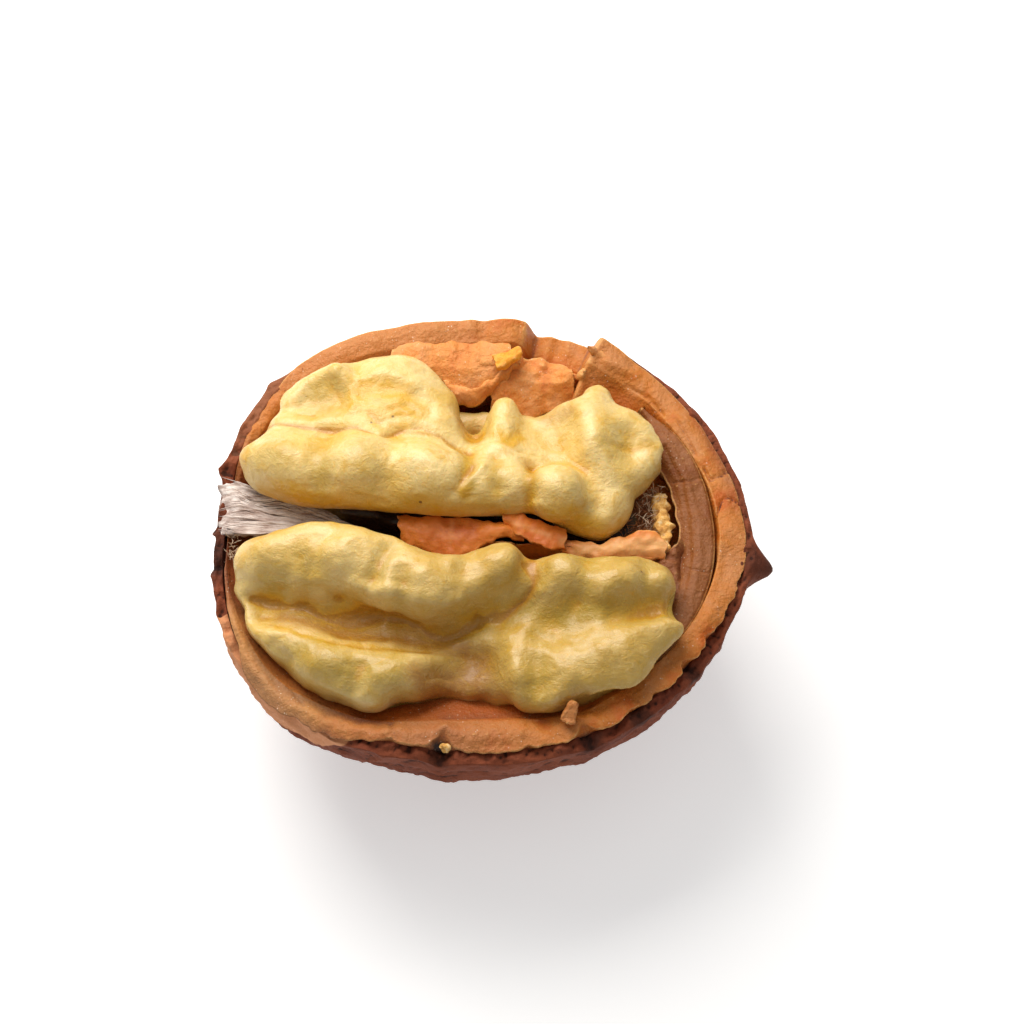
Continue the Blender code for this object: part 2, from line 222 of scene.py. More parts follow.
def kernel_finish():
    material, shader, place, painted = new_finish("kernel_flesh")
    cloud = place.speckle(4.0, 3, 0.55, 0.4)
    mottle = place.speckle(1.3, 4, 0.6, 0.8)
    fine = place.speckle(0.5, 4, 0.62)
    grain = place.speckle(0.14, 2, 0.6)
    streaks = place.stretched(0.5, 1, 1, 20).speckle(0.6, 4, 0.6, 1.6)
    crease, hollow, valley = painted("crease"), painted("hollow"), painted("valley")
    colour = cloud.blend((0.30, KERNEL_CREAM), (0.68, KERNEL_PALE))
    # painted highlights: pale patches on the tops of lobes, ridges and domes
    colour = colour.toward(KERNEL_PALE, painted("pale") * (mottle * 0.7 + 0.45))
    colour = colour.toward(KERNEL_GOLD, mottle.ramp(0.48, 0.70) * 0.50)
    colour = colour.toward(KERNEL_OLIVE, mottle.ramp(0.44, 0.26) * 0.28)
    colour = colour.toward(KERNEL_GOLD, (painted("golden") * (mottle * 1.3 + 0.2)).ramp(0.1, 0.9))
    # painted shade: the kernel darker where light falls off, evenly on the back half and more to the right of the front
    # half
    colour = colour.toward(KERNEL_SHADE, painted("shade") * (mottle * 0.8 + 0.6))
    # olive patches: partly the kernel's greenish tone, partly painted shade in dents and grooves
    colour = colour.toward(KERNEL_OLIVE, painted("olive") * (fine * 0.6 + 0.5))
    # painted shade: olive in the broad valleys
    colour = colour.toward(KERNEL_OLIVE, (valley + (mottle - 0.5) * 0.3).ramp(0.05, 0.75) * 0.42)
    # gold in the hollows and amber in the creases: partly the skin's colour, partly painted shade
    colour = colour.toward(KERNEL_GOLD, (hollow + (fine - 0.5) * 0.12).ramp(0.03, 0.28) * 0.75)
    colour = colour.toward(KERNEL_TAN, painted("tan") * (streaks * 0.9 + 0.45))
    colour = colour.toward(KERNEL_AMBER, (crease + (fine - 0.5) * 0.03).ramp(0.02, 0.08) * 0.7)
    colour = colour.toward(KERNEL_PALE, streaks.ramp(0.54, 0.74) * 0.30)
    colour = colour.toward(KERNEL_GOLD, streaks.ramp(0.46, 0.30) * 0.32)
    colour = colour.toward(KERNEL_GOLD, grain.ramp(0.50, 0.28) * 0.14)
    # painted shade: amber in the folds and under the overhanging ridges
    colour = colour.toward(KERNEL_AMBER, painted("deep") * (fine * 0.6 + 0.45))
    # painted shade: dark deep between the two halves
    colour = colour.toward(KERNEL_PAINTED_SHADOW, painted("under"))
    spots = place.cells(2.4).ramp(0.075, 0.035) * place.speckle(5.0, 1).ramp(0.50, 0.58)
    colour = colour.toward(KERNEL_BROWN, spots * 0.85)
    rough = 0.36 + fine * 0.16 + grain * 0.06
    relief = mottle * 0.7 + fine * 0.42 + grain * 0.10 + streaks * 0.35
    wire(shader, colour, rough, relief, 0.18, {
        "Subsurface Weight": 0.16, "Subsurface Radius": (1.0, 0.55, 0.18), "Subsurface Scale": 0.7 * MM,
        "Specular IOR Level": 0.5, "Coat Weight": 0.30, "Coat Roughness": 0.20,
    })
    return material


kernel_flesh = kernel_finish()
print("kernel finish:", len(kernel_flesh.node_tree.nodes), "nodes")

# %% [markdown]
# **Shell.** The wall of the shell is orange-tan where it has just been broken, pinker and grainy at the seam, and
# deeper orange down inside. Its outside is a reddish-brown bark. They are two pieces, because the orange wall
# stands a little proud of the bark along the front and the bark stands proud of it at the two ends.

# %% Shell finishes
WALL_ORANGE = (0.54, 0.175, 0.024)
WALL_PINK = (0.54, 0.205, 0.058)
WALL_DEEP = (0.52, 0.115, 0.008)
WALL_LIGHT = (0.80, 0.44, 0.15)
WALL_BROWN = (0.22, 0.07, 0.035)
BARK_BROWN = (0.145, 0.031, 0.014)
BARK_RED = (0.25, 0.064, 0.027)
BARK_DARK = (0.026, 0.009, 0.006)


def wall_finish(name, middle, pink, deep):
    material, shader, place, painted = new_finish(name)
    cloud = place.speckle(3.5, 3, 0.6, 0.5)
    grain = place.speckle(0.35, 4, 0.65)
    fibres = place.stretched(1, 1, 0.3).speckle(0.5, 4, 0.65, 0.4)
    colour = cloud.blend((0.36, deep), (0.50, middle), (0.66, pink))
    colour = colour.toward(pink, painted("pinkish") * (grain * 0.8 + 0.4))
    colour = colour.toward(deep, painted("inside") * (cloud * 0.7 + 0.55))
    # lighter on ridges, a painted highlight; brown in creases and cracks, painted shade
    colour = colour.toward(WALL_LIGHT, (painted("ridge") + (grain - 0.5) * 0.1).ramp(0.02, 0.12) * 0.55)
    colour = colour.toward(WALL_BROWN, (painted("crease") + (grain - 0.5) * 0.04).ramp(0.03, 0.13) * 0.7)
    # brown mask: brown at the ends and the tip, and painted shade under the lip and along the front
    colour = colour.toward(WALL_BROWN, painted("brown") * (grain * 0.6 + 0.7))
    colour = colour.toward(WALL_LIGHT, grain.ramp(0.60, 0.74) * 0.4)
    colour = colour.toward(WALL_LIGHT, painted("light") * (cloud * 0.8 + 0.5))
    # painted shade in the hole below the front lip
    colour = colour.toward(BARK_DARK, painted("charred"))
    glints = place.cells(0.32).ramp(0.22, 0.08) * place.speckle(1.6, 3).ramp(0.50, 0.66)
    colour = colour.toward((0.95, 0.80, 0.62), glints * 0.65)
    relief = grain * 0.55 + fibres * 0.5 + place.speckle(1.4, 3) * 0.6 + place.speckle(0.12, 2) * 0.12
    wire(shader, colour, 0.40 + grain * 0.24, relief, 0.22, {
        "Specular IOR Level": 0.35, "Subsurface Weight": 0.10, "Subsurface Radius": (1.0, 0.4, 0.2),
        "Subsurface Scale": 0.6 * MM,
    })
    return material


def bark_finish():
    material, shader, place, painted = new_finish("shell_bark")
    cloud = place.speckle(5.0, 4, 0.6, 0.6)
    grain = place.speckle(0.6, 5, 0.68)
    pits = place.cells(1.3).ramp(0.28, 0.10)
    colour = cloud.blend((0.34, BARK_BROWN), (0.62, BARK_RED))
    # dark in the creases, painted shade; lighter and redder on the ridges, a painted highlight
    colour = colour.toward(BARK_DARK, (painted("crease") + (grain - 0.5) * 0.08).ramp(0.01, 0.09) * 0.8)
    colour = colour.toward(BARK_RED, (painted("ridge") + (grain - 0.5) * 0.08).ramp(0.02, 0.12) * 0.6)
    colour = colour.toward(BARK_DARK, grain.ramp(0.44, 0.30) * 0.55)
    # darker at the stem and the tip, and painted shade in the holes under the rim
    colour = colour.toward(BARK_DARK, painted("charred") * (grain * 1.0 + 0.45))
    colour = colour.toward((0.33, 0.13, 0.06), painted("warm") * (cloud * 0.8 + 0.3))
    colour = colour.toward(WALL_PINK, grain.ramp(0.66, 0.76) * 0.18)
    colour = colour.toward((0.66, 0.28, 0.125), (painted("bare") + (cloud - 0.5) * 0.6).ramp(0.40, 0.62))
    relief = grain * 0.8 + place.speckle(0.22, 3, 0.6) * 0.3 - pits * 0.25
    wire(shader, colour, 0.62 + grain * 0.25, relief, 0.22, {"Specular IOR Level": 0.18})
    return material


shell_orange = wall_finish("shell_wall", WALL_ORANGE, WALL_PINK, WALL_DEEP)
shell_bark = bark_finish()
lining_tan = wall_finish("shell_lining", (0.26, 0.080, 0.014), (0.30, 0.105, 0.030), (0.21, 0.050, 0.006))
flap_orange = wall_finish("torn_lining", (0.74, 0.25, 0.030), (0.74, 0.32, 0.11), (0.66, 0.15, 0.010))
flake_yellow = wall_finish("curled_lining", (0.88, 0.36, 0.030), (0.86, 0.42, 0.10), (0.74, 0.22, 0.010))

# %% [markdown]
# **Partition, fibres and pith.** The partition is a papery skin, glossy in places, from deep orange-brown where it
# is thick to light orange at its torn end. The fibres at the stem are whitish with a lilac cast. The pith is dry
# and crumbly.

# %% Paper, fibre and pith finishes
def paper_finish():
    material, shader, place, painted = new_finish("partition_paper")
    cloud = place.speckle(2.2, 3, 0.6, 0.6)
    streaks = place.stretched(0.35, 1, 1, 12).speckle(0.5, 4, 0.6, 0.5)
    colour = cloud.blend((0.32, (0.52, 0.11, 0.008)), (0.60, (0.70, 0.20, 0.022)))
    # the light mask: the light orange torn end, and painted highlights on the folds
    colour = colour.toward((0.78, 0.40, 0.14), painted("light") * (streaks * 0.9 + 0.45))
    # dark in the creases, painted shade; lighter on the ridges, a painted highlight
    colour = colour.toward((0.30, 0.06, 0.012), painted("crease").ramp(0.02, 0.10) * 0.7)
    colour = colour.toward((0.82, 0.42, 0.14),
    (painted("ridge") + (streaks - 0.5) * 0.05).ramp(0.03, 0.12) * 0.5)
    wire(shader, colour, 0.40 + streaks * 0.25, streaks * 0.7 + place.speckle(0.3, 3) * 0.4, 0.10, {
        "Subsurface Weight": 0.12, "Subsurface Radius": (1.0, 0.35, 0.1), "Subsurface Scale": 0.5 * MM,
    })
    return material


def fibre_finish(name, pale, dark):
    material, shader, place, painted = new_finish(name)
    strands = place.stretched(0.16, 1, 1, -4).speckle(0.35, 4, 0.6)
    cloud = place.speckle(1.8, 3)
    colour = strands.blend((0.34, dark), (0.60, pale))
    colour = colour.toward(dark, cloud.ramp(0.56, 0.72) * 0.55)
    # darker at the ends of the bundle: the cut end, and painted shade where it goes down between the halves
    colour = colour.toward((0.10, 0.05, 0.035), painted("charred") * (strands * 0.7 + 0.6))
    wire(shader, colour, 0.5 + strands * 0.2, strands, 0.15)
    return material


def pith_finish():
    material, shader, place, painted = new_finish("pith_crumb")
    crumbs = place.speckle(0.5, 4, 0.7)
    colour = crumbs.blend((0.30, (0.50, 0.20, 0.04)), (0.50, (0.80, 0.43, 0.10)), (0.68, (0.94, 0.74, 0.42)))
    # dark in the creases, painted shade
    colour = colour.toward((0.26, 0.09, 0.03), painted("crease").ramp(0.03, 0.12) * 0.8)
    wire(shader, colour, 0.7 + crumbs * 0.2, crumbs, 0.2)
    return material


partition_paper = paper_finish()
fibre_white = fibre_finish("fibre_white", (0.86, 0.76, 0.70), (0.42, 0.29, 0.24))
hair_pale = fibre_finish("hair_pale", (0.80, 0.62, 0.44), (0.52, 0.34, 0.20))
fibre_brown = fibre_finish("fibre_brown", (0.50, 0.20, 0.07), (0.22, 0.065, 0.016))
pith_crumb = pith_finish()

# %% [markdown]
# ## Modelling tools
# Most pieces start as a copy of the measured solid, which is merged and kneaded into one even skin of small
# quads. Then it is modelled as clay is: bands are raised or pressed along short paths, given as (x, y) in
# millimetres seen from above. numpy moves all the points at once.

# %% Pieces from the measured solids
def mesh_of(bm, name):
    mesh = bpy.data.meshes.new(name)
    bm.to_mesh(mesh)
    bm.free()
    mesh.shade_smooth()
    return mesh


def kneaded(node, voxel, relax=3):
    """The measured solid of a node as one even skin of quads, voxel millimetres across."""
    bm = bmesh.new()
    bm.from_mesh(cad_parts[node].data)
    bmesh.ops.remove_doubles(bm, verts=bm.verts, dist=0.002 * MM)
    lump = bpy.data.objects.new("lump", mesh_of(bm, "lump"))
    bpy.context.scene.collection.objects.link(lump)
    remesh = lump.modifiers.new("even_skin", "REMESH")
    remesh.mode = "VOXEL"
    remesh.voxel_size = voxel * MM
    smooth = lump.modifiers.new("relax", "SMOOTH")
    smooth.factor = 0.5
    smooth.iterations = relax
    graph = bpy.context.evaluated_depsgraph_get()
    mesh = bpy.data.meshes.new_from_object(lump.evaluated_get(graph))
    bpy.data.objects.remove(lump, do_unlink=True)
    mesh.materials.clear()
    mesh.shade_smooth()
    return mesh


def place_piece(name, mesh, material, slot, *nodes):
    """Shows a mesh as a piece that rides with the nut and stands for the named measured solids."""
    mesh.name = name
    piece = bpy.data.objects.new(name, mesh)
    bpy.context.scene.collection.objects.link(piece)
    mesh.materials.append(material)
    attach(piece, "root")
    if nodes:
        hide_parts(*nodes)
    print(f"{name}: {len(mesh.polygons)} faces")
    return piece


# %% Reading and moving points
def read_points(mesh):
    points = np.empty(len(mesh.vertices) * 3)
    mesh.vertices.foreach_get("co", points)
    return points.reshape(-1, 3)


def read_normals(mesh):
    normals = np.empty(len(mesh.vertices) * 3)
    mesh.vertex_normals.foreach_get("vector", normals)
    return normals.reshape(-1, 3)


def write_points(mesh, points):
    mesh.vertices.foreach_set("co", points.ravel())
    mesh.update()


def path_distance(plan, path):
    """How far each plan point is from a path of (x, y) corners."""
    nearest = np.full(len(plan), 1e9)
    corners = [np.array(corner, float) for corner in path]
    for start, end in zip(corners, corners[1:] or corners):
        run = end - start
        length = max(float(run @ run), 1e-9)
        share = np.clip(((plan - start) @ run) / length, 0, 1)
        nearest = np.minimum(nearest, np.hypot(*(plan - start - share[:, None] * run).T))
    return nearest


def band(plan, path, width, sharp=False):
    """1 on a path and 0 a width away from it: rounded, or sharp like a fold."""
    share = np.clip(1 - path_distance(plan, path) / width, 0, 1)
    return share ** 2 if sharp else share * share * (3 - 2 * share)


def model(mesh, strokes):
    """Raises the top of the skin by strokes of (height, width, path); a negative width is sharp, like a fold."""
    points, normals = read_points(mesh), read_normals(mesh)
    plan = points[:, :2] / MM
    lift = np.zeros(len(points))
    for height, width, path in strokes:
        lift += height * band(plan, path, abs(width), sharp=width < 0)
    lift *= np.clip(normals[:, 2] * 1.8, 0, 1)
    write_points(mesh, points + (normals * 0.5 + (0, 0, 0.5)) * lift[:, None] * MM)


def iron(mesh, rounds, width, path):
    """Smooths the skin within a width of a path."""
    average, points = neighbours(mesh), read_points(mesh)
    share = band(points[:, :2] / MM, path, width)[:, None] * 0.6
    for _ in range(rounds):
        points = points + (average(points) - points) * share
    write_points(mesh, points)


def roughen(mesh, layers):
    """Raises the skin by layers of smooth noise, each (height, size, seed) in millimetres."""
    points, normals = read_points(mesh), read_normals(mesh)
    lift = sum(height * wobble(points / MM, size, seed) for height, size, seed in layers)
    write_points(mesh, points + normals * lift[:, None] * MM)


def pull(mesh, pulls):
    """Drags the clay round (x, y) by (dx, dy, dz); each pull also has its reach, all in millimetres."""
    points = read_points(mesh)
    for x, y, reach, *move in pulls:
        near = smooth(1 - np.hypot(*(points[:, :2] / MM - (x, y)).T) / reach)
        points += near[:, None] * np.array(move) * MM
    write_points(mesh, points)


def neighbours(mesh):
    """A function that averages an array of points over each one's neighbours."""
    ends = np.empty(len(mesh.edges) * 2, dtype=np.int64)
    mesh.edges.foreach_get("vertices", ends)
    first, second = ends[::2], ends[1::2]
    count = np.bincount(ends, minlength=len(mesh.vertices)).clip(1)

    def average(points):
        size = len(points)
        columns = [np.bincount(first, axis[second], size) + np.bincount(second, axis[first], size) for axis in points.T]
        return np.stack(columns, 1) / count[:, None]

    return average


def relax(mesh, rounds):
    """Softens the skin."""
    average, points = neighbours(mesh), read_points(mesh)
    for _ in range(rounds):
        points = points * 0.5 + average(points) * 0.5
    write_points(mesh, points)


# %% [markdown]
# Colour follows shape through masks stored on the mesh. `settle` compares every point with the average of its
# neighbours, several times over: a point below that average lies in a hollow, and one above it is on a ridge.

# %% Masks
def store(mesh, name, values):
    layer = mesh.attributes.get(name) or mesh.attributes.new(name, "FLOAT", "POINT")
    layer.data.foreach_set("value", np.asarray(values, dtype=np.float32))


def settle(mesh, rounds):
    """How far each point lies below the skin around it, in millimetres."""
    average, start = neighbours(mesh), read_points(mesh)
    points = start.copy()
    for _ in range(rounds):
        points = points * 0.4 + average(points) * 0.6
    return ((points - start) * read_normals(mesh)).sum(1) / MM


def shape_masks(mesh, near=8, far=60):
    """Stores the creases and ridges, and the broader hollows, for the finishes to read."""
    fine = settle(mesh, near)
    store(mesh, "crease", fine)
    store(mesh, "ridge", -fine)
    store(mesh, "hollow", settle(mesh, far))


def paint(mesh, name, patches):
    """A soft mask of patches, each (strength, radius, path) in millimetres seen from above."""
    plan = read_points(mesh)[:, :2] / MM
    mask = np.zeros(len(plan))
    for strength, radius, path in patches:
        mask = np.maximum(mask, strength * band(plan, path, radius))
    store(mesh, name, mask)


# %% [markdown]
# ## Kernel
# The two halves of the kernel are lobed like a brain. The measured solids hold the main ridges; here the skin is
# pinched into the creases between lobes, bulged between them and given its fine wrinkles.

# %% Painted shade where the two halves meet, deep under the partition
def painted_shade_under_partition(mesh):
    """1 deep between the halves: painted shade, dark where no light gets in."""
    x, y, z = (read_points(mesh) / MM).T
    return smooth((RIM_HEIGHT - 0.5 - z) / 1.0) * smooth((3.8 - abs(y - 0.6)) / 0.9) * smooth((13.5 - abs(x)) / 3)


VALLEY_ROUNDS = 380


# %% Back half of the kernel
def back_kernel():
    mesh = kneaded("kernel_back", 0.17)
    pull(mesh, [
        (-9.7, 13.2, 1.6, 0, -0.7, -0.5), (-11.6, 12.6, 1.6, 0, 0.2, 0.3), (-7.0, 14.0, 1.8, 0.2, 0.1, 0.3),
        (-16.0, 8.2, 2.0, -0.3, 0.5, 0.5), (-18.0, 6.0, 1.8, -0.3, 0, 0),
        (5.9, 9.8, 2.2, 0.1, 0.9, 0.4), (7.2, 9.4, 2.0, -0.5, 0.2, 0.2), (10.4, 8.8, 2.2, 0.3, 0.3, 0.3),
        (3.4, 3.4, 1.4, 0, 0, 0.7), (0.9, 3.6, 1.2, 0, 0, 0.3), (-0.6, 10.2, 1.6, -0.2, 0, -0.3),
        (13.2, 6.4, 1.4, 0.3, 0, 0.3),
    ])
    relax(mesh, 6)
    iron(mesh, 90, 2.0, [(-17.6, 8.2), (-11.0, 7.8), (-8.8, 7.2), (-6.0, 7.8), (-2.0, 6.6)])
    iron(mesh, 40, 2.0, [(-2.0, 5.0), (3.4, 4.2), (7.6, 3.0)])
    model(mesh, [
        # the fold where the long ridge meets the lobe behind it
        (0.30, 2.0, [(-16.0, 8.0), (-11.4, 7.7), (-8.8, 7.0), (-6.0, 7.5), (-3.4, 7.0)]),
        (-0.24, -0.5, [(-17.2, 8.5), (-14, 7.8), (-11.4, 7.5), (-9.9, 7.5), (-8.6, 6.7), (-7.8, 6.6),
                            (-6.5, 7.4), (-5.0, 7.6), (-3.6, 7.0), (-2.8, 6.4), (-1.2, 5.8)]),
        (-0.06, -0.4, [(-8.6, 7.8), (-6.4, 8.6), (-4.4, 8.6), (-2.2, 7.6)]),
        # the ridge swells and narrows along its length
        (0.35, 2.6, [(-16.2, 5.6), (-15.4, 5.4)]),
        (-0.42, 1.7, [(-11.9, 7.0), (-12.6, 4.6), (-12.4, 2.6)]),
        (0.38, 2.3, [(-9.8, 5.0), (-9.4, 3.4)]),
        (-0.34, 1.5, [(-7.0, 6.6), (-7.0, 4.0), (-7.3, 2.2)]),
        (0.42, 2.4, [(-4.4, 4.6), (-4.0, 3.0)]),
        (-0.38, 1.2, [(-1.2, 5.6), (-1.2, 3.6), (-2.0, 1.8)]),
        (0.26, 0.7, [(-0.4, 4.0), (-1.6, 2.2), (-2.4, 1.2)]),
        (-0.16, -0.5, [(-0.9, 4.0), (-2.2, 2.0)]),
        (0.25, 1.0, [(2.1, 4.6), (2.2, 2.4)]),
        (-0.30, 1.0, [(0.6, 5.0), (0.8, 2.4)]),
        (-0.42, 1.0, [(3.4, 4.8), (3.3, 1.8)]),
        # the lobe at the back: a shallow dish, a tuft on its edge and dents in its skin
        (-0.34, 2.8, [(-12.8, 10.2), (-12.0, 10.2)]),
        (0.35, 1.1, [(-15.2, 10.4), (-14.0, 12.0), (-12.0, 12.7)]),
        (0.30, 1.0, [(-11.4, 12.4), (-10.4, 10.8), (-10.2, 9.4)]),
        (-0.20, -0.5, [(-14.4, 9.2), (-13.2, 9.0)]),
        (0.10, 2.4, [(-8.0, 10.6), (-6.4, 10.0)]),
        (0.22, 1.2, [(-9.4, 12.6), (-7.6, 12.4), (-5.8, 11.6)]),
        (0.20, 1.4, [(-4.8, 11.4), (-3.0, 9.0)]),
        (-0.14, -0.5, [(-8.9, 8.7), (-8.0, 7.6)]),
        (-0.10, -0.5, [(-8.4, 9.6), (-7.4, 9.0), (-6.2, 9.4), (-5.4, 9.0)]),
        # the pit beside the finger, and the finger's own waist
        (-0.7, 1.6, [(-1.2, 9.6), (-0.9, 7.8)]),
        (-0.22, 0.9, [(0.2, 7.0), (2.0, 6.0), (3.6, 5.9)]),
        (0.18, 0.5, [(0.4, 6.4), (2.2, 5.5), (3.8, 5.4)]),
        (-0.16, 0.7, [(1.2, 8.0), (1.7, 7.0), (2.3, 8.0)]),
        # the crest of the pointed lobe, running down past the ball
        (0.24, 1.8, [(8.1, 10.6), (7.7, 8.2), (7.9, 5.8), (8.9, 4.0), (9.8, 2.4)]),
        (-0.34, 2.0, [(10.2, 6.8), (10.0, 6.0)]),
        (-0.10, 0.5, [(9.6, 6.2), (11.4, 6.3), (12.8, 6.7)]),
        (0.30, 1.4, [(12.3, 8.2), (12.2, 7.8)]),
        (0.30, 1.8, [(12.4, 4.8), (11.4, 3.6)]),
        (-0.40, 2.4, [(4.8, 8.6), (5.4, 6.6)]),
        # the groove round the ball
        (-0.35, 1.1, [(3.4, 4.6), (4.6, 5.3), (6.2, 5.0), (7.2, 4.1), (7.8, 2.4), (8.4, 1.4)]),
        (0.20, 1.6, [(5.2, 2.8), (5.4, 2.6)]),
    ])
    relax(mesh, 2)
    roughen(mesh, [(0.12, 3.4, 1), (0.030, 1.2, 2), (0.012, 0.45, 3)])
    shape_masks(mesh)
    iron(mesh, 6, 0.9, [(-17.0, 8.4), (-11.0, 7.9), (-8.8, 7.2), (-6.0, 7.8), (-2.0, 6.6)])
    iron(mesh, 25, 0.8, [(11.6, 6.4), (13.4, 6.1)])
    # the broad valleys, which the finish darkens as painted shade
    store(mesh, "valley", settle(mesh, VALLEY_ROUNDS))
    # an even painted shade over the whole back half
    store(mesh, "shade", np.full(len(mesh.vertices), 0.22))
    store(mesh, "under", painted_shade_under_partition(mesh))
    paint(mesh, "golden", [
        (1.0, 2.6, [(-9.6, 10.8), (-7.0, 10.2)]), (0.8, 1.4, [(-10.2, 9.4), (-5.2, 8.8)]),
        (1.0, 1.6, [(-17.0, 2.8), (-13, 1.6), (-8.0, 0.8), (-2.0, 0.4)]),
        (1.0, 0.9, [(-1.3, 5.0), (-1.6, 2.0)]), (0.9, 1.1, [(0.8, 7.4), (1.6, 6.6), (2.4, 7.4)]),
        (0.8, 1.0, [(3.3, 4.4), (3.3, 1.4)]), (0.8, 1.6, [(5.0, 0.6), (8.6, 0.0)]),
        (0.6, 0.8, [(0.8, 5), (0.8, 2)]),
        (0.6, 0.8, [(9.8, 6.2), (13.0, 6.7)]), (0.6, 1.6, [(-14.0, 9.0), (-13.2, 8.6)]),
        (0.5, 2.0, [(3.8, 7.8), (5.4, 7.0)]), (0.8, 1.2, [(-18.2, 7.5), (-18.6, 4.0)]),
        (0.5, 1.2, [(10.0, 0.8), (12.0, 1.4)]), (0.6, 1.0, [(-15.8, 12.0), (-12.0, 13.6)]),
    ])
    # olive patches: partly the kernel's greenish tone, partly painted shade in dents and grooves
    paint(mesh, "olive", [
        (0.8, 2.6, [(-12.8, 10.4), (-12.2, 10.2)]), (0.5, 2.0, [(-9.2, 5.2), (-8.8, 4.0)]),
        (0.9, 1.2, [(-1.5, 5.4), (-1.3, 2.6)]), (0.8, 1.6, [(-1.2, 9.4), (-1.0, 7.8)]),
        (0.7, 1.6, [(-12.5, 5.4), (-12.3, 3.0)]), (0.4, 1.4, [(6.6, 2.2), (7.6, 1.2)]),
        (0.5, 2.0, [(-16.2, 5.8), (-15.4, 5.2)]), (0.5, 1.0, [(3.4, 4.0), (3.3, 2.2)]),
        (0.5, 1.0, [(0.8, 4.6), (0.8, 2.6)]),
        (0.5, 1.4, [(12.8, 4.4), (12.0, 2.6)]), (0.35, 1.6, [(10.2, 6.6), (10.0, 5.8)]),
    ])
    # painted highlights on the tops of lobes and ridges
    paint(mesh, "pale", [
        (0.8, 1.8, [(-4.8, 3.8), (-3.2, 3.2)]), (0.8, 1.1, [(2.1, 4.0), (2.2, 2.6)]),
        (1.0, 1.0, [(7.8, 9.6), (7.7, 6.2), (8.8, 4.0), (9.6, 2.8)]), (0.8, 1.4, [(4.5, 3.3), (5.0, 2.9)]),
        (0.8, 1.2, [(1.6, 9.8), (1.4, 8.4)]), (0.6, 1.4, [(12.2, 6.0), (11.4, 4.4)]),
        (0.5, 1.6, [(-6.4, 13.6), (-4.6, 12.2)]), (0.4, 1.4, [(-10.8, 12.2), (-10.2, 9.6)]),
        (0.7, 1.6, [(4.4, 8.4), (5.8, 7.4)]),
    ])
    paint(mesh, "tan", [(0.8, 1.0, [(-1.0, 10.0), (-1.8, 9.0)]), (0.5, 1.2, [(4.4, 9.6), (6.2, 9.4)])])
    # painted shade in the folds
    paint(mesh, "deep", [
        (0.7, 0.3, [(-16.8, 8.4), (-13.0, 7.7), (-9.9, 7.5), (-8.6, 6.8)]),
        (0.6, 0.25, [(-8.0, 6.7), (-6.5, 7.3), (-3.6, 7.0), (-2.4, 6.3)]),
        (0.35, 0.4, [(-0.9, 4.2), (-2.2, 2.0)]), (0.5, 0.5, [(3.4, 4.0), (3.2, 1.8)]),
        (0.3, 0.4, [(-8.9, 8.7), (-8.0, 8.0)]),
    ])
    return place_piece("kernel_back_flesh", mesh, kernel_flesh, "kernel", "kernel_back")


back_kernel()

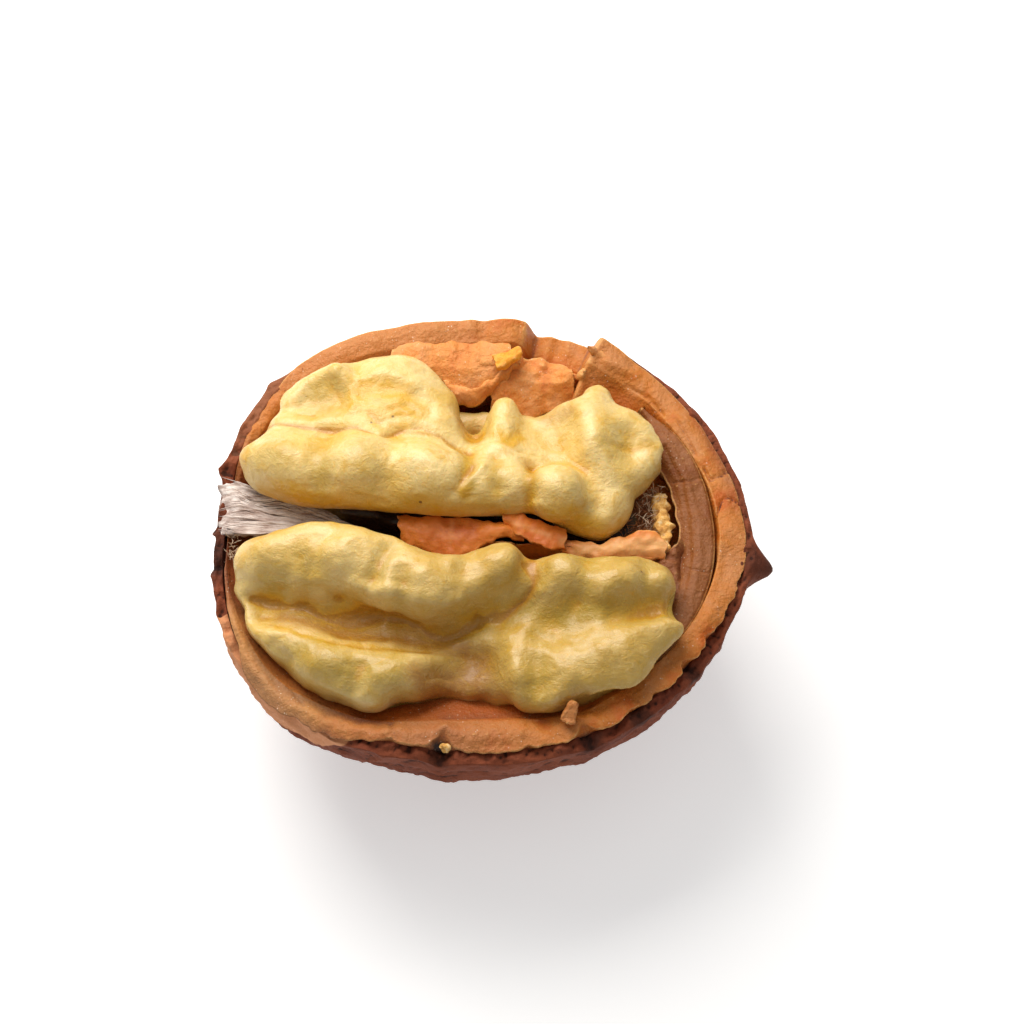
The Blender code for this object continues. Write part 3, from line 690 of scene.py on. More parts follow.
# %% Front half of the kernel
def front_kernel():
    mesh = kneaded("kernel_front", 0.18)
    pull(mesh, [
        (-3.2, -14.2, 2.6, 0, 1.5, -0.6), (-0.8, -14.6, 2.4, 0, 1.6, -0.6), (0.8, -14.6, 1.8, -0.2, 1.3, -0.6),
        (-6.0, -14.2, 2.2, 0, 0.8, 0), (-9.4, -14.4, 2.4, 0, -0.2, 0.2), (4.4, -14.6, 1.8, 0, -0.3, 0.4),
        (7.0, -14.0, 1.3, 0, 0.6, -0.2), (10.6, -12.6, 2.6, 0.3, -0.5, 0.0),
        (-15.6, -11.0, 2.0, 0.4, 0.4, -0.3),
        (13.6, -8.8, 2.4, 0.2, 0.2, 0.4), (-6.2, -7.6, 1.5, 0, 0.5, 0.0), (-12.0, -1.2, 3.0, 0, 0.2, 0.1),
        (-18.8, -4.0, 2.6, -0.7, 0, 0), (-17.6, -7.6, 2.2, -0.5, 0, 0), (14.6, -6.7, 1.5, -0.6, 0, -0.9),
    ])
    relax(mesh, 8)
    model(mesh, [
        # the undercut edge of the ridge, a soft hollow with a sharp fold at its top
        (-0.95, 1.9, [(-16.6, -6.6), (-13.3, -6.9), (-10.4, -7.6), (-7.0, -8.0), (-4.4, -8.8)]),
        (-0.90, -0.8, [(-17.6, -5.4), (-15.0, -5.9), (-13.3, -6.1), (-12.4, -6.6), (-10.4, -7.0), (-8.2, -7.2),
                            (-6.0, -7.4), (-4.5, -8.1), (-3.2, -8.4), (-2.1, -8.2), (-0.6, -7.6)]),
        (-0.65, 1.6, [(-2.6, -8.6), (-0.4, -7.8), (1.4, -7.4), (2.9, -6.4), (3.6, -5.2), (3.3, -3.9)]),
        (-0.50, -0.7, [(-0.6, -7.6), (1.2, -7.1), (2.7, -6.2), (3.4, -5.2), (3.2, -3.9)]),
        (0.35, 0.9, [(-8.0, -6.3), (-4.6, -6.9), (-3.0, -7.3), (-1.8, -7.0)]),
        # the fold along the trough, with fine lines beside it
        (-0.28, -0.6, [(-16.0, -7.6), (-13.3, -8.7), (-11.1, -9.5), (-8.9, -9.7), (-5.0, -9.7), (-1.0, -9.8)]),
        (0.14, 0.5, [(-15.2, -7.1), (-12.4, -8.1), (-9.4, -8.9), (-5.0, -9.1)]),
        (-0.12, -0.4, [(-12.8, -7.8), (-9.8, -8.6), (-5.8, -8.9), (-2.2, -9.2)]),
        (-0.10, -0.35, [(-10.0, -10.1), (-6.0, -10.1), (-1.6, -10.3)]),
        # dents and swellings on the ridge
        (-0.42, 1.1, [(-7.0, -2.9), (-7.6, -4.2), (-8.2, -5.4)]),
        (-0.32, 1.2, [(-6.2, -5.2), (-6.0, -6.4)]),
        (-0.40, 1.2, [(-16.3, -4.4), (-15.2, -4.9)]),
        (0.30, 1.3, [(-16.6, -2.6), (-15.2, -2.4)]),
        (0.35, 2.0, [(-10.6, -3.4), (-9.8, -2.6)]),
        (-0.26, 1.0, [(-13.6, -3.6), (-12.9, -4.8)]),
        (-0.22, 0.9, [(-11.6, -4.6), (-10.8, -5.6)]),
        (0.28, 0.8, [(-12.6, -5.2), (-12.0, -5.7)]),
        (0.22, 0.8, [(-9.8, -5.6), (-9.0, -6.0)]),
        (0.30, 1.5, [(-4.4, -5.4), (-3.4, -6.4)]),
        (-0.30, 1.3, [(-1.2, -3.4), (-1.4, -4.6)]),
        (0.35, 1.9, [(1.2, -4.2), (1.3, -3.8)]),
        # the low lobe: a notch at its foot and a dish in its top
        (-0.28, 1.0, [(-9.2, -11.6), (-9.6, -13.0)]),
        (0.35, 1.6, [(-7.4, -12.0), (-6.8, -11.6)]),
        (-0.30, 0.9, [(-15.6, -9.4), (-14.8, -10.6)]),
        (0.35, 1.8, [(-12.6, -10.8), (-11.6, -10.8)]),
        (-0.90, 2.2, [(-3.6, -12.2), (-2.2, -11.4), (-1.2, -10.6)]),
        # domes and the valley of the broad mass
        (0.35, 1.5, [(5.4, -3.9), (5.8, -4.1)]),
        (-0.40, 1.4, [(7.4, -3.4), (7.4, -5.6)]),
        (0.50, 1.9, [(9.6, -4.9), (10.2, -5.0)]),
        (-0.28, 1.1, [(11.7, -3.8), (11.7, -5.6)]),
        (0.34, 1.3, [(13.1, -4.8), (13.3, -5.2)]),
        (-1.00, 2.6, [(4.8, -8.0), (6.4, -7.2)]),
        (-0.75, 1.7, [(6.8, -7.0), (9.0, -7.4), (10.9, -7.3), (12.7, -6.9), (14.6, -6.5), (17.0, -6.2)]),
        (0.40, 2.8, [(8.6, -10.0), (11.0, -9.2)]),
        (-0.45, 1.7, [(3.9, -11.6), (3.8, -12.8)]),
        (0.40, 1.5, [(1.9, -10.6), (2.2, -11.8)]),
        (0.30, 1.2, [(4.4, -14.2), (4.8, -13.6)]),
        (-0.35, 1.0, [(6.7, -14.4), (6.6, -13.2)]),
        # fans of fine lines on the mass, where the skin is stretched
        (0.07, 0.35, [(2.4, -8.2), (4.2, -9.8), (5.4, -11.8)]),
        (0.07, 0.35, [(3.2, -8.4), (5.6, -9.6), (7.6, -11.8)]),
        (0.07, 0.30, [(4.6, -8.8), (7.4, -9.6), (9.4, -11.6)]),
        (0.06, 0.30, [(8.0, -8.6), (8.2, -10.4)]), (0.06, 0.30, [(9.6, -8.6), (10.4, -10.6)]),
    ])
    relax(mesh, 2)
    roughen(mesh, [(0.12, 3.2, 4), (0.040, 1.1, 5), (0.014, 0.45, 6)])
    shape_masks(mesh)
    iron(mesh, 25, 0.7, [(3.6, -5.0), (3.2, -3.4)])
    iron(mesh, 30, 1.0, [(13.2, -6.6), (14.8, -6.9)])
    iron(mesh, 30, 1.4, [(-4.8, -12.8), (-2.0, -12.4)])
    iron(mesh, 14, 0.8, [(-17.0, -6.0), (-12.4, -6.6), (-8.2, -7.4), (-4.5, -8.2), (-0.6, -7.6), (1.2, -7.1)])
    # the broad valleys, which the finish darkens as painted shade
    store(mesh, "valley", settle(mesh, VALLEY_ROUNDS))
    # painted shade, deeper towards the right of the front half
    across = read_points(mesh)[:, 0] / MM
    store(mesh, "shade", 0.34 + 0.42 * smooth((across + 9) / 8))
    store(mesh, "under", painted_shade_under_partition(mesh))
    paint(mesh, "golden", [
        (1.0, 1.4, [(-17.0, -1.0), (-13.0, 0.2), (-9.0, 0.1), (-6.4, -1.0)]),
        (0.9, 0.8, [(-15.4, -7.9), (-11.1, -9.6), (-6.0, -9.8)]), (0.7, 1.4, [(2.2, -8.2), (5.6, -7.4)]),
        (0.6, 1.4, [(-13.0, -10.8), (-11.6, -9.8)]), (0.7, 2.0, [(3.4, -8.6), (6.4, -7.0)]),
        (0.5, 1.2, [(7.0, -7.2), (12.4, -7.0)]), (0.6, 1.3, [(0.0, -3.0), (0.0, -5.6)]),
        (0.5, 1.8, [(-5.0, -3.8), (-3.6, -4.4)]), (0.4, 1.6, [(8.0, -12.4), (11.0, -11.4)]),
        (0.5, 1.6, [(3.0, -12.6), (4.4, -14.6)]),
    ])
    # olive patches: partly the kernel's greenish tone, partly painted shade in dents and grooves
    paint(mesh, "olive", [
        (0.9, 2.8, [(-13.4, -10.2), (-10.0, -11.8), (-7.4, -11.6)]), (0.8, 1.2, [(-7.2, -3.2), (-8.0, -5.2)]),
        (0.7, 1.4, [(-16.2, -4.6), (-15.0, -4.8)]), (1.0, 2.2, [(4.4, -8.4), (6.2, -7.4)]),
        (0.7, 1.8, [(3.8, -11.4), (3.8, -12.8)]), (0.9, 1.4, [(6.6, -7.2), (10, -7.4), (14.4, -6.6)]),
        (0.5, 1.3, [(-6.2, -5.4), (-6.0, -6.4)]), (0.7, 1.1, [(7.4, -3.6), (7.4, -6.0)]),
        (0.5, 1.0, [(11.7, -4), (11.7, -6)]),
        (0.7, 1.2, [(2.9, -6.6), (3.7, -5.2), (3.4, -3.8)]),
        (0.5, 1.0, [(-13.6, -3.6), (-12.9, -4.8)]),
    ])
    # painted highlights on the tops of domes and ridges
    paint(mesh, "pale", [
        (0.2, 0.9, [(9.2, -4.3), (10.0, -4.5)]), (0.2, 1.0, [(5.4, -3.8), (5.8, -4.4)]),
        (0.6, 1.4, [(-10.4, -3.0), (-9.6, -2.4)]), (0.6, 1.6, [(7.0, -10.0), (8.6, -10.8)]),
        (0.2, 1.2, [(1.4, -3.6), (1.6, -4.0)]), (0.5, 1.4, [(-16.0, -2.6), (-15.0, -2.4)]),
        (0.6, 1.0, [(13.0, -7.8), (12.4, -9.0)]), (0.4, 1.6, [(-4.6, -5.6), (-3.6, -6.4)]),
    ])
    paint(mesh, "tan", [
        (0.9, 1.3, [(-15.0, -6.9), (-10.4, -8.1), (-6.0, -8.7), (-1.6, -9.2)]),
        (1.0, 2.2, [(-3.8, -12.4), (-1.8, -11.8), (-0.6, -10.4), (-0.6, -13.6)]),
        (0.9, 1.4, [(-5.0, -11.8), (-3.6, -13.4)]),
        (0.5, 1.0, [(5.6, -14.0), (7.4, -13.6)]),
    ])
    # painted shade in the crease beside the knob and under the overhanging ridge
    paint(mesh, "deep", [
        (0.9, 0.6, [(3.2, -3.0), (3.7, -4.6), (3.3, -5.8), (1.6, -7.0)]),
        (0.55, 0.5, [(-9.0, -7.1), (-4.6, -8.0), (-0.8, -7.6)]),
        (0.45, 0.35, [(-11.6, -9.3), (-8.6, -9.8), (-3.0, -9.9)]), (0.4, 0.5, [(-12.8, -6.4), (-14.4, -6.0)]),
    ])
    return place_piece("kernel_front_flesh", mesh, kernel_flesh, "kernel", "kernel_front")


front_kernel()

# %% [markdown]
# ## Shell
# Each layer of the shell is one grid, wrapped round: its first rows become the outside, the middle rows the broken
# rim, and the last rows are turned down into the inside. Merging doubles closes the seam and the two poles at the
# bottom. The outline is the same blunt-to-pointed curve that the measured shell has.

# %% The bowl's surface
DEPTH = 18.55
STEM_REACH, TIP_REACH, BACK_REACH, FRONT_REACH = 20.6, 19.7, 18.6, 17.7
STEM_BLUNTNESS, TIP_BLUNTNESS = 2.5, 1.92
WALL_FULLNESS = 0.86
RIM_STATIONS = [
    (-180, -1.2), (-150, -0.3), (-100, 0.1), (-40, 0.2), (0, 0.1), (50, 0.0), (62, 0.5), (65, -1.6), (78, -1.7),
    (81, 0.2), (120, 0.2), (150, -0.4), (180, -1.2),
]


def outline_radius(angle, inset):
    along, across = np.cos(angle), np.sin(angle)
    reach = np.where(along > 0, TIP_REACH, STEM_REACH) - inset
    width = np.where(across > 0, BACK_REACH, FRONT_REACH) - inset
    power = STEM_BLUNTNESS + (TIP_BLUNTNESS - STEM_BLUNTNESS) * smooth((1 + along) / 2)
    return (abs(along / reach) ** power + abs(across / width) ** power) ** (-1 / power)


def bowl(angle, drop, inset):
    """Points of the bowl in millimetres: drop is 0 at the rim and a quarter turn at the bottom."""
    radius = outline_radius(angle, inset) * np.cos(drop) ** WALL_FULLNESS
    return np.stack([radius * np.cos(angle), radius * np.sin(angle), -(DEPTH - inset) * np.sin(drop)], 1)


def bump_at(angle, middle, spread):
    """1 at one angle of the rim in degrees, fading over spread degrees to each side."""
    away = (np.degrees(angle) - middle + 180) % 360 - 180
    return np.exp(-(away / spread) ** 2)


def lifted(points, drop, height):
    """The rim's height, fading down the wall."""
    points[:, 2] += height * np.cos(drop) ** 6
    return points


def layer(name, rings, spokes, outside, inside, crown):
    """A closed bowl from its outside and inside walls; crown(points, angle, share) raises the rim between them."""
    bm = bmesh.new()
    bmesh.ops.create_grid(bm, x_segments=spokes, y_segments=rings, size=1)
    sheet = np.array([v.co for v in bm.verts])
    angle, height = sheet[:, 0] * math.pi, sheet[:, 1]
    rim_from, rim_to = -0.11, 0.17
    share = np.clip((height - rim_from) / (rim_to - rim_from), 0, 1)
    outer = outside(angle, np.clip((rim_from - height) / (1 + rim_from), 0, 1) * math.pi / 2)
    inner = inside(angle, np.clip((height - rim_to) / (1 - rim_to), 0, 1) * math.pi / 2)
    points = outer * (1 - share[:, None]) + inner * share[:, None]
    points[:, 2] += crown(points, angle, share) * (share > 0) * (share < 1) + RIM_HEIGHT
    points[:, 2] = points[:, 2].clip(0)
    for v, point in zip(bm.verts, points * MM):
        v.co = point
    bmesh.ops.remove_doubles(bm, verts=bm.verts, dist=0.0005 * MM)
    bmesh.ops.recalc_face_normals(bm, faces=bm.faces)
    print(name, "open edges:", sum(e.is_boundary for e in bm.edges))
    return mesh_of(bm, name)


# %% [markdown]
# **The bark.** Its top edge stays just under the orange wall along the front and the back, and comes up to the
# rim at the pointed tip and at the stem, where it is ragged. At the front left it has come off and the wall's
# colour shows. Its outside is netted with shallow wrinkles that
# run mostly along the nut.

# %% Bark
BARK_THICKNESS = [
    (-180, 0.6), (-150, 0.7), (-130, 1.2), (-30, 1.2), (-15, 0.7), (40, 0.7), (55, 1.0), (130, 1.0),
    (150, 0.8), (180, 0.6),
]
BARK_TOP = [
    (-180, 0.0), (-171, 0.3), (-164, 0.2), (-160, -0.8), (-148, -1.8), (-128, -1.6), (-115, -1.0), (-22, -0.9),
    (-10, -0.4), (0, -0.3), (30, -0.35), (42, -0.6), (56, -0.8), (62, -0.2), (66, -0.7), (130, -0.8),
    (142, -0.1),
    (158, 0.0), (164, -0.2), (168, -1.2), (176, -1.4), (180, 0.0),
]
BARK_HOLES = [(-101, 2.5), (-65, 3), (-52, 4), (-36, 3)]
BARK_SPURS = [(163.5, 0.5, 1.2), (177, 0.4, 1.0), (142, 0.3, 2.0), (-172, 0.2, 1.2), (-163, 0.2, 1.4)]
POINT_LENGTH, POINT_ANGLE, POINT_SPREAD, POINT_DROP = 1.8, -0.10, 0.06, 0.05


def wrinkles(points):
    """The outside's relief in millimetres: netted ridges over broad lumps."""
    bent = points + np.stack([wobble(points, 6, 7), wobble(points, 6, 8), wobble(points, 6, 77)], 1) * 1.2
    net = 1 - abs(wobble(bent * (0.5, 1, 1), 2.2, 9))
    small = 1 - abs(wobble(bent * (0.7, 1, 1), 0.9, 10))
    return 0.34 * net + 0.13 * small + 0.04 * wobble(points, 0.5, 11) - 0.25


def bark_height(angle):
    degrees = np.degrees(angle)
    ring = bowl(angle, angle * 0, 0)
    stem = smooth((abs(degrees) - 150) / 12)
    ragged = 0.10 * wobble(ring, 2.0, 12) + 0.06 * wobble(ring, 0.7, 112)
    ragged += stem * (0.25 * wobble(ring, 0.9, 13) + 0.20 * wobble(ring, 0.4, 113))
    hole = 1.0 * bump_at(angle, -101, 2.5) + 0.6 * bump_at(angle, -65, 2) + 0.4 * bump_at(angle, -35, 2)
    return between(RIM_STATIONS, degrees) + between(BARK_TOP, degrees) + ragged - hole


def bark_outside(angle, drop):
    aside, below = (angle - POINT_ANGLE) / POINT_SPREAD, (drop - POINT_DROP) / POINT_SPREAD
    swell = 0.35 * np.exp(-((drop / 0.10) ** 2)) * (0.3 + 0.7 * smooth(1 + np.cos(angle)))
    swell += POINT_LENGTH * np.exp(-aside * aside - below * below)
    swell += 0.22 * np.sin(7 * angle + 2 * drop) * np.sin(2 * drop)
    for middle, length, spread in BARK_SPURS:
        swell += length * bump_at(angle, middle, spread) * np.exp(-(drop / 0.05) ** 2)
    tucked = 1.1 * bump_at(angle, -139, 11) * np.exp(-(drop / 0.16) ** 2)
    relief = wrinkles(bowl(angle, drop, 0)) * smooth(drop / 0.08 + 0.3)
    return lifted(bowl(angle, drop, -(swell + relief - tucked)), drop, bark_height(angle))


def bark_inside(angle, drop):
    inset = 1.2 + (between(BARK_THICKNESS, np.degrees(angle)) - 1.2) * np.cos(drop)
    return lifted(bowl(angle, drop, inset), drop, bark_height(angle))


def bark_crown(points, angle, share):
    rough = 0.12 + 0.16 * wobble(points, 0.9, 14) + 0.10 * wobble(points, 0.35, 15)
    return np.sin(math.pi * share) * rough


def shell_bark_layer():
    mesh = layer("shell_bark_layer", 170, 520, bark_outside, bark_inside, bark_crown)
    shape_masks(mesh, 5, 30)
    points = read_points(mesh) / MM
    angle = np.degrees(np.arctan2(points[:, 1], points[:, 0]))
    high = np.clip((points[:, 2] - 14.5) / 2.5, 0, 1)
    stem = np.clip((np.abs(angle) - 168) / 6, 0, 1) * high
    tip = np.exp(-((angle + 6) / 4) ** 2) * high * 0.6
    # painted shade in the holes under the rim, and darker at the stem and the tip
    holes = sum(bump_at(np.radians(angle), middle, spread) for middle, spread in BARK_HOLES)
    holes = np.clip(holes * 2 - 0.7 + 0.35 * wobble(points, 0.7, 171), 0, 1)
    holes *= 0.75 * np.clip((points[:, 2] - RIM_HEIGHT + 2.2) / 0.8, 0, 1)
    store(mesh, "charred", np.maximum(np.maximum(stem * 0.85, tip), holes))
    reach = 7.0 * smooth((angle + 165) / 8) * smooth((-116 - angle) / 18)
    store(mesh, "bare", np.clip((points[:, 2] - RIM_HEIGHT + reach) / 1.2, 0, 1) * (angle < -110))
    store(mesh, "warm", high * np.clip((angle - 60) / 60, 0, 1) * np.clip((164 - angle) / 14, 0, 1))
    return place_piece("shell_bark_layer", mesh, shell_bark, "shell", "shell_half")


shell_bark_layer()

# %% [markdown]
# **The wall.** Inside the bark is the hard orange wall. Its broken face is the band seen all round the rim; its
# outer lip is scalloped and thin, with dark holes under it where the bark has come away. Below the rim it
# slopes in until it meets the kernel.

# %% Wall
WALL_STATIONS = [
    (-180, 1.3), (-150, 1.9), (-125, 2.5), (-100, 3.4), (-80, 3.4), (-60, 2.8), (-35, 2.4), (0, 2.3), (40, 2.4),
    (60, 2.6), (90, 2.2), (140, 1.9), (180, 1.3),
]
WALL_SLOPE = [
    (-180, 0.6), (-150, 1.2), (-125, 1.5), (-95, 2.6), (-75, 2.2), (-55, 1.3), (-42, 0.2), (34, 0.2), (46, 1.5),
    (60, 1.8), (85, 1.2), (120, 1.4), (140, 1.3), (165, 0.6), (180, 0.6),
]
LIP_INSET = [
    (-180, 0.8), (-156, 0.7), (-148, 0.0), (-130, 0.1), (-112, 0.55), (-100, 0.55), (-88, 0.35), (-66, 0.45),
    (-42, 0.35), (-20, 0.35), (-8, 0.1), (8, 0.25), (22, 0.35), (34, 0.25), (44, 0.1), (52, 0.0),
    (60, -0.15), (134, -0.1),
    (145, 0.5), (165, 0.8), (180, 0.8),
]
LIP_DROOP = [
    (-160, 0.0), (-145, 1.3), (-128, 0.9), (-110, 0.2), (-95, 0.5), (-80, 0.3), (-60, 0.2), (40, 0.1),
    (60, 0.0),
]
LIP_HOLES = [
    (-101, 1.3, 2.2), (-65, 0.9, 2.0), (-53, 0.5, 1.8), (-35.5, 0.5, 2.0), (-27, 0.4, 1.4), (-46, 0.4, 1.2),
]


def lip_inset(angle):
    degrees, ring = np.degrees(angle), bowl(angle, angle * 0, 0)
    ragged = 0.15 + 0.85 * smooth((-5 - degrees) / 10) * smooth((degrees + 150) / 20)
    inset = between(LIP_INSET, degrees) + ragged * (0.15 * wobble(ring, 2.0, 16) + 0.11 * wobble(ring, 0.8, 17))
    inset += ragged * 0.05 * wobble(ring, 0.35, 117)
    for middle, depth, spread in LIP_HOLES:
        inset += depth * bump_at(angle, middle, spread)
    return inset


def wall_height(angle):
    degrees, ring = np.degrees(angle), bowl(angle, angle * 0, 0)
    torn = smooth((degrees - 56) / 8) * smooth((100 - degrees) / 12)
    under_fibres = 1.3 * bump_at(angle, 172, 8)
    ragged = 0.08 * wobble(ring, 2.2, 18) + torn * 0.2 * wobble(ring, 0.9, 19)
    return between(RIM_STATIONS, degrees) + ragged - under_fibres


def wall_outside(angle, drop):
    under = np.exp(-((drop / 0.04) ** 2))
    points = bowl(angle, drop, 0.75 * (1 - under) + lip_inset(angle) * under)
    return lifted(points, drop, wall_height(angle) - between(LIP_DROOP, np.degrees(angle)) * under)


def wall_inside(angle, drop):
    degrees = np.degrees(angle)
    slope = between(WALL_SLOPE, degrees)
    sloping = np.clip(slope, 0, 0.6) / 0.6
    inset = 2.6 + (between(WALL_STATIONS, degrees) + slope * smooth(drop / 0.16) - 2.6) * np.cos(drop) ** 0.5
    inset -= sloping * 0.35 * np.exp(-((drop / 0.06) ** 2))
    ripple = 0.10 * smooth(drop / 0.05) * wobble(bowl(angle, drop, 2), 1.6, 20)
    rounded = 0.7 * smooth((-50 - degrees) / 20) * smooth((degrees + 165) / 20)
    return lifted(bowl(angle, drop, inset + ripple), drop, wall_height(angle) - 0.3 * sloping - rounded)


def wall_crown(points, angle, share):
    rounded = smooth((-50 - np.degrees(angle)) / 20) * smooth((np.degrees(angle) + 165) / 20)
    sag = 0.7 * rounded * (share - smooth((share - 0.3) / 0.7))
    face = 0.16 + 0.10 * wobble(points, 2.2, 120) + 0.05 * wobble(points, 0.8, 21) + 0.02 * wobble(points, 0.3, 22)
    return np.sin(math.pi * share) * face + sag


def shell_wall_layer():
    mesh = layer("shell_wall_layer", 150, 600, wall_outside, wall_inside, wall_crown)
    model(mesh, [
        # cracks and a step across the rim near the tip
        (-0.40, -0.22, [(16.6, 5.6), (17.0, 4.6), (17.8, 4.9), (18.3, 5.4)]),
        (-0.35, -0.20, [(17.3, 1.4), (17.9, 2.9), (18.4, 3.1), (19.2, 2.6)]),
        (0.16, 1.0, [(16.4, 6.2), (17.2, 5.6)]),
        (-0.25, -0.22, [(14.6, 9.8), (15.4, 8.2), (15.9, 6.8)]),
        (-0.20, -0.3, [(10.8, 13.0), (12.6, 11.8), (13.6, 10.4)]),
        (0.20, 0.6, [(9.2, 14.8), (11.4, 13.8)]),
        # folds of the broken face along the front
        (-0.25, -0.5, [(-7.0, -14.8), (-6.4, -16.6)]),
        (0.35, 1.6, [(-0.6, -15.4), (2.0, -15.2)]),
        (-0.20, 0.9, [(4.2, -14.8), (5.2, -16.4)]),
        (0.20, 0.5, [(7.6, -14.4), (8.4, -15.2)]),
        (-0.18, -0.35, [(-14.6, -11.6), (-13.4, -13.4)]),
        (-0.14, -0.3, [(10.6, -13.0), (11.6, -13.9)]),
    ])
    shape_masks(mesh, 4, 30)
    points = read_points(mesh) / MM
    angle = np.degrees(np.arctan2(points[:, 1], points[:, 0]))
    deep = np.clip((RIM_HEIGHT - 0.25 - points[:, 2]) / 1.4, 0, 1)
    reach = outline_radius(np.radians(angle), between(WALL_STATIONS, angle) - 0.4)
    inner = np.hypot(points[:, 0], points[:, 1]) < reach
    back_seam = np.clip((angle - 85) / 10, 0, 1) * np.clip((150 - angle) / 10, 0, 1)
    front_seam = np.clip((-70 - angle) / 30, 0, 1)
    store(mesh, "inside", deep * inner)
    store(mesh, "pinkish", (1 - deep * inner) * np.maximum(back_seam, front_seam))
    ends = np.clip((np.abs(angle) - 152) / 12, 0, 1)
    tip = np.exp(-((angle - 22) / 16) ** 2) * np.clip((np.hypot(points[:, 0], points[:, 1]) - 18.1) / 0.8, 0, 1)
    # painted shade on the outside of the wall under its lip
    under = np.clip((RIM_HEIGHT - 0.7 - points[:, 2]) / 0.5, 0, 1) * ~inner * (angle < -10)
    # painted shade in the hole below the front lip
    hole = np.exp(-(((points[:, 0] + 3.3) / 0.75) ** 2 + ((points[:, 1] + 16.7) / 0.55) ** 2))
    store(mesh, "charred", np.clip(hole * 3.2 - 1.1 + 0.4 * wobble(points, 0.5, 170), 0, 1))
    store(mesh, "light", smooth((angle + 168) / 8) * smooth((-122 - angle) / 14) * 0.35)
    # painted shade along the front
    front = 0.35 * front_seam * smooth((angle + 125) / 20)
    store(mesh, "brown", np.maximum.reduce([ends * 0.6, tip * 0.5, under, front]))
    return place_piece("shell_wall_layer", mesh, shell_orange, "shell_lining")


shell_wall_layer()

# %% [markdown]
# ## Linings, pith and chips
# Inside the wall near the tip a second layer has come away, with a thin dark crack between the two. At the back
# the same layer is torn, and a flap of it hangs over the kernel.

# %% Linings that follow the measured solids
def all_masks(mesh, near, far, **values):
    """The masks of a small piece: its creases as modelled, and the same value all over for the others."""
    shape_masks(mesh, near, far)
    for name in ("inside", "pinkish", "brown", "light", "charred"):
        store(mesh, name, np.full(len(mesh.vertices), values.get(name, 0.0)))


def tip_lining():
    """The inner layer at the tip: a band that follows the wall, with a thin crack between them."""
    bm = bmesh.new()
    bmesh.ops.create_grid(bm, x_segments=240, y_segments=36, size=0.5)
    grid = np.array([v.co for v in bm.verts])
    degrees, share = -47 + 90 * (grid[:, 0] + 0.5), grid[:, 1] + 0.5
    ends = smooth((degrees + 47) / 16) * smooth((43 - degrees) / 14)
    outer = 2.26 + 0.24 * np.exp(-((degrees - 2) / 14) ** 2) + 0.3 * (1 - ends)
    inner = outer + 0.5 + 2.1 * ends + 0.10 * wobble(np.stack([degrees * 0.3, share * 0, share * 0], 1), 1.2, 130)
    points = bowl(np.radians(degrees), share * 0, outer + (inner - outer) * share)
    points[:, 2] = 0.12 - 0.25 * np.exp(-((share / 0.06) ** 2)) - 0.9 * smooth((share - 0.35) / 0.65) ** 2
    points[:, 2] -= 0.5 * (1 - ends)
    points[:, 2] += 0.05 * wobble(points, 1.6, 131) + 0.03 * wobble(points, 0.6, 132)
    for v, point in zip(bm.verts, points):
        v.co = at(*point)
    bmesh.ops.recalc_face_normals(bm, faces=bm.faces)
    bmesh.ops.solidify(bm, geom=bm.faces[:], thickness=1.6 * MM)
    mesh = mesh_of(bm, "tip_lining_layer")
    model(mesh, [
        (0.05, 0.35, [(13.2, 9.0), (15.0, 5.6), (15.9, 2.0), (16.1, -1.8), (15.2, -5.8), (13.6, -8.6)]),
        (-0.22, -0.16, [(14.2, 4.7), (15.4, 4.5), (16.4, 4.9)]), (-0.2, -0.16, [(15.2, -2.8), (16.6, -3.2)]),
        (-0.12, 0.3, [(13.6, 7.4), (14.8, 4.6), (15.2, 1.8), (15.3, -1.8), (14.6, -5.2)]),
    ])
    all_masks(mesh, 4, 20, pinkish=0.2)
    return place_piece("tip_lining_layer", mesh, lining_tan, "shell_lining", "tip_lining")


def back_lining():
    mesh = kneaded("back_lining", 0.16, 2)
    roughen(mesh, [(0.25, 2.2, 26), (0.10, 0.9, 27), (0.03, 0.3, 28)])
    all_masks(mesh, 5, 30, pinkish=0.4)
    return place_piece("back_lining_layer", mesh, flap_orange, "shell_lining", "back_lining")


def crumbly(node, name, material, slot, size, pulls=()):
    mesh = kneaded(node, 0.12, 2)
    pull(mesh, pulls)
    roughen(mesh, [(0.30 * size, 1.3, 29), (0.20 * size, 0.5, 30), (0.05, 0.22, 31)])
    all_masks(mesh, 4, 20)
    return place_piece(name, mesh, material, slot, node)


def crumb():
    """The pale crumb caught in the hole below the front rim."""
    bm = bmesh.new()
    bmesh.ops.create_icosphere(bm, subdivisions=4, radius=0.34 * MM)
    mesh = mesh_of(bm, "rim_crumb")
    points = read_points(mesh) / MM * (1.2, 0.8, 1.0)
    write_points(mesh, (points + np.array(at(-3.0, -16.75, -0.75)) / MM) * MM)
    roughen(mesh, [(0.12, 0.5, 172), (0.04, 0.2, 173)])
    all_masks(mesh, 3, 12)
    return place_piece("rim_crumb", mesh, pith_crumb, "pith")


tip_lining()
back_lining()
crumb()
crumbly("tip_pith", "tip_pith_strip", pith_crumb, "pith", 0.7)
crumbly("curled_flake", "curled_flake_sheet", flake_yellow, "shell_lining", 0.35)
crumbly("front_chip", "front_chip_flake", shell_orange, "shell_lining", 0.1, [(6.6, -15.0, 3.0, -0.3, 0, -0.25)])

# %% [markdown]
# ## Papery sheets
# The partition's torn top is three ribbons that overlap. Each is a grid laid over stations: the place of its
# front and back edge at points along the nut. A Solidify modifier gives it the thickness of the skin.

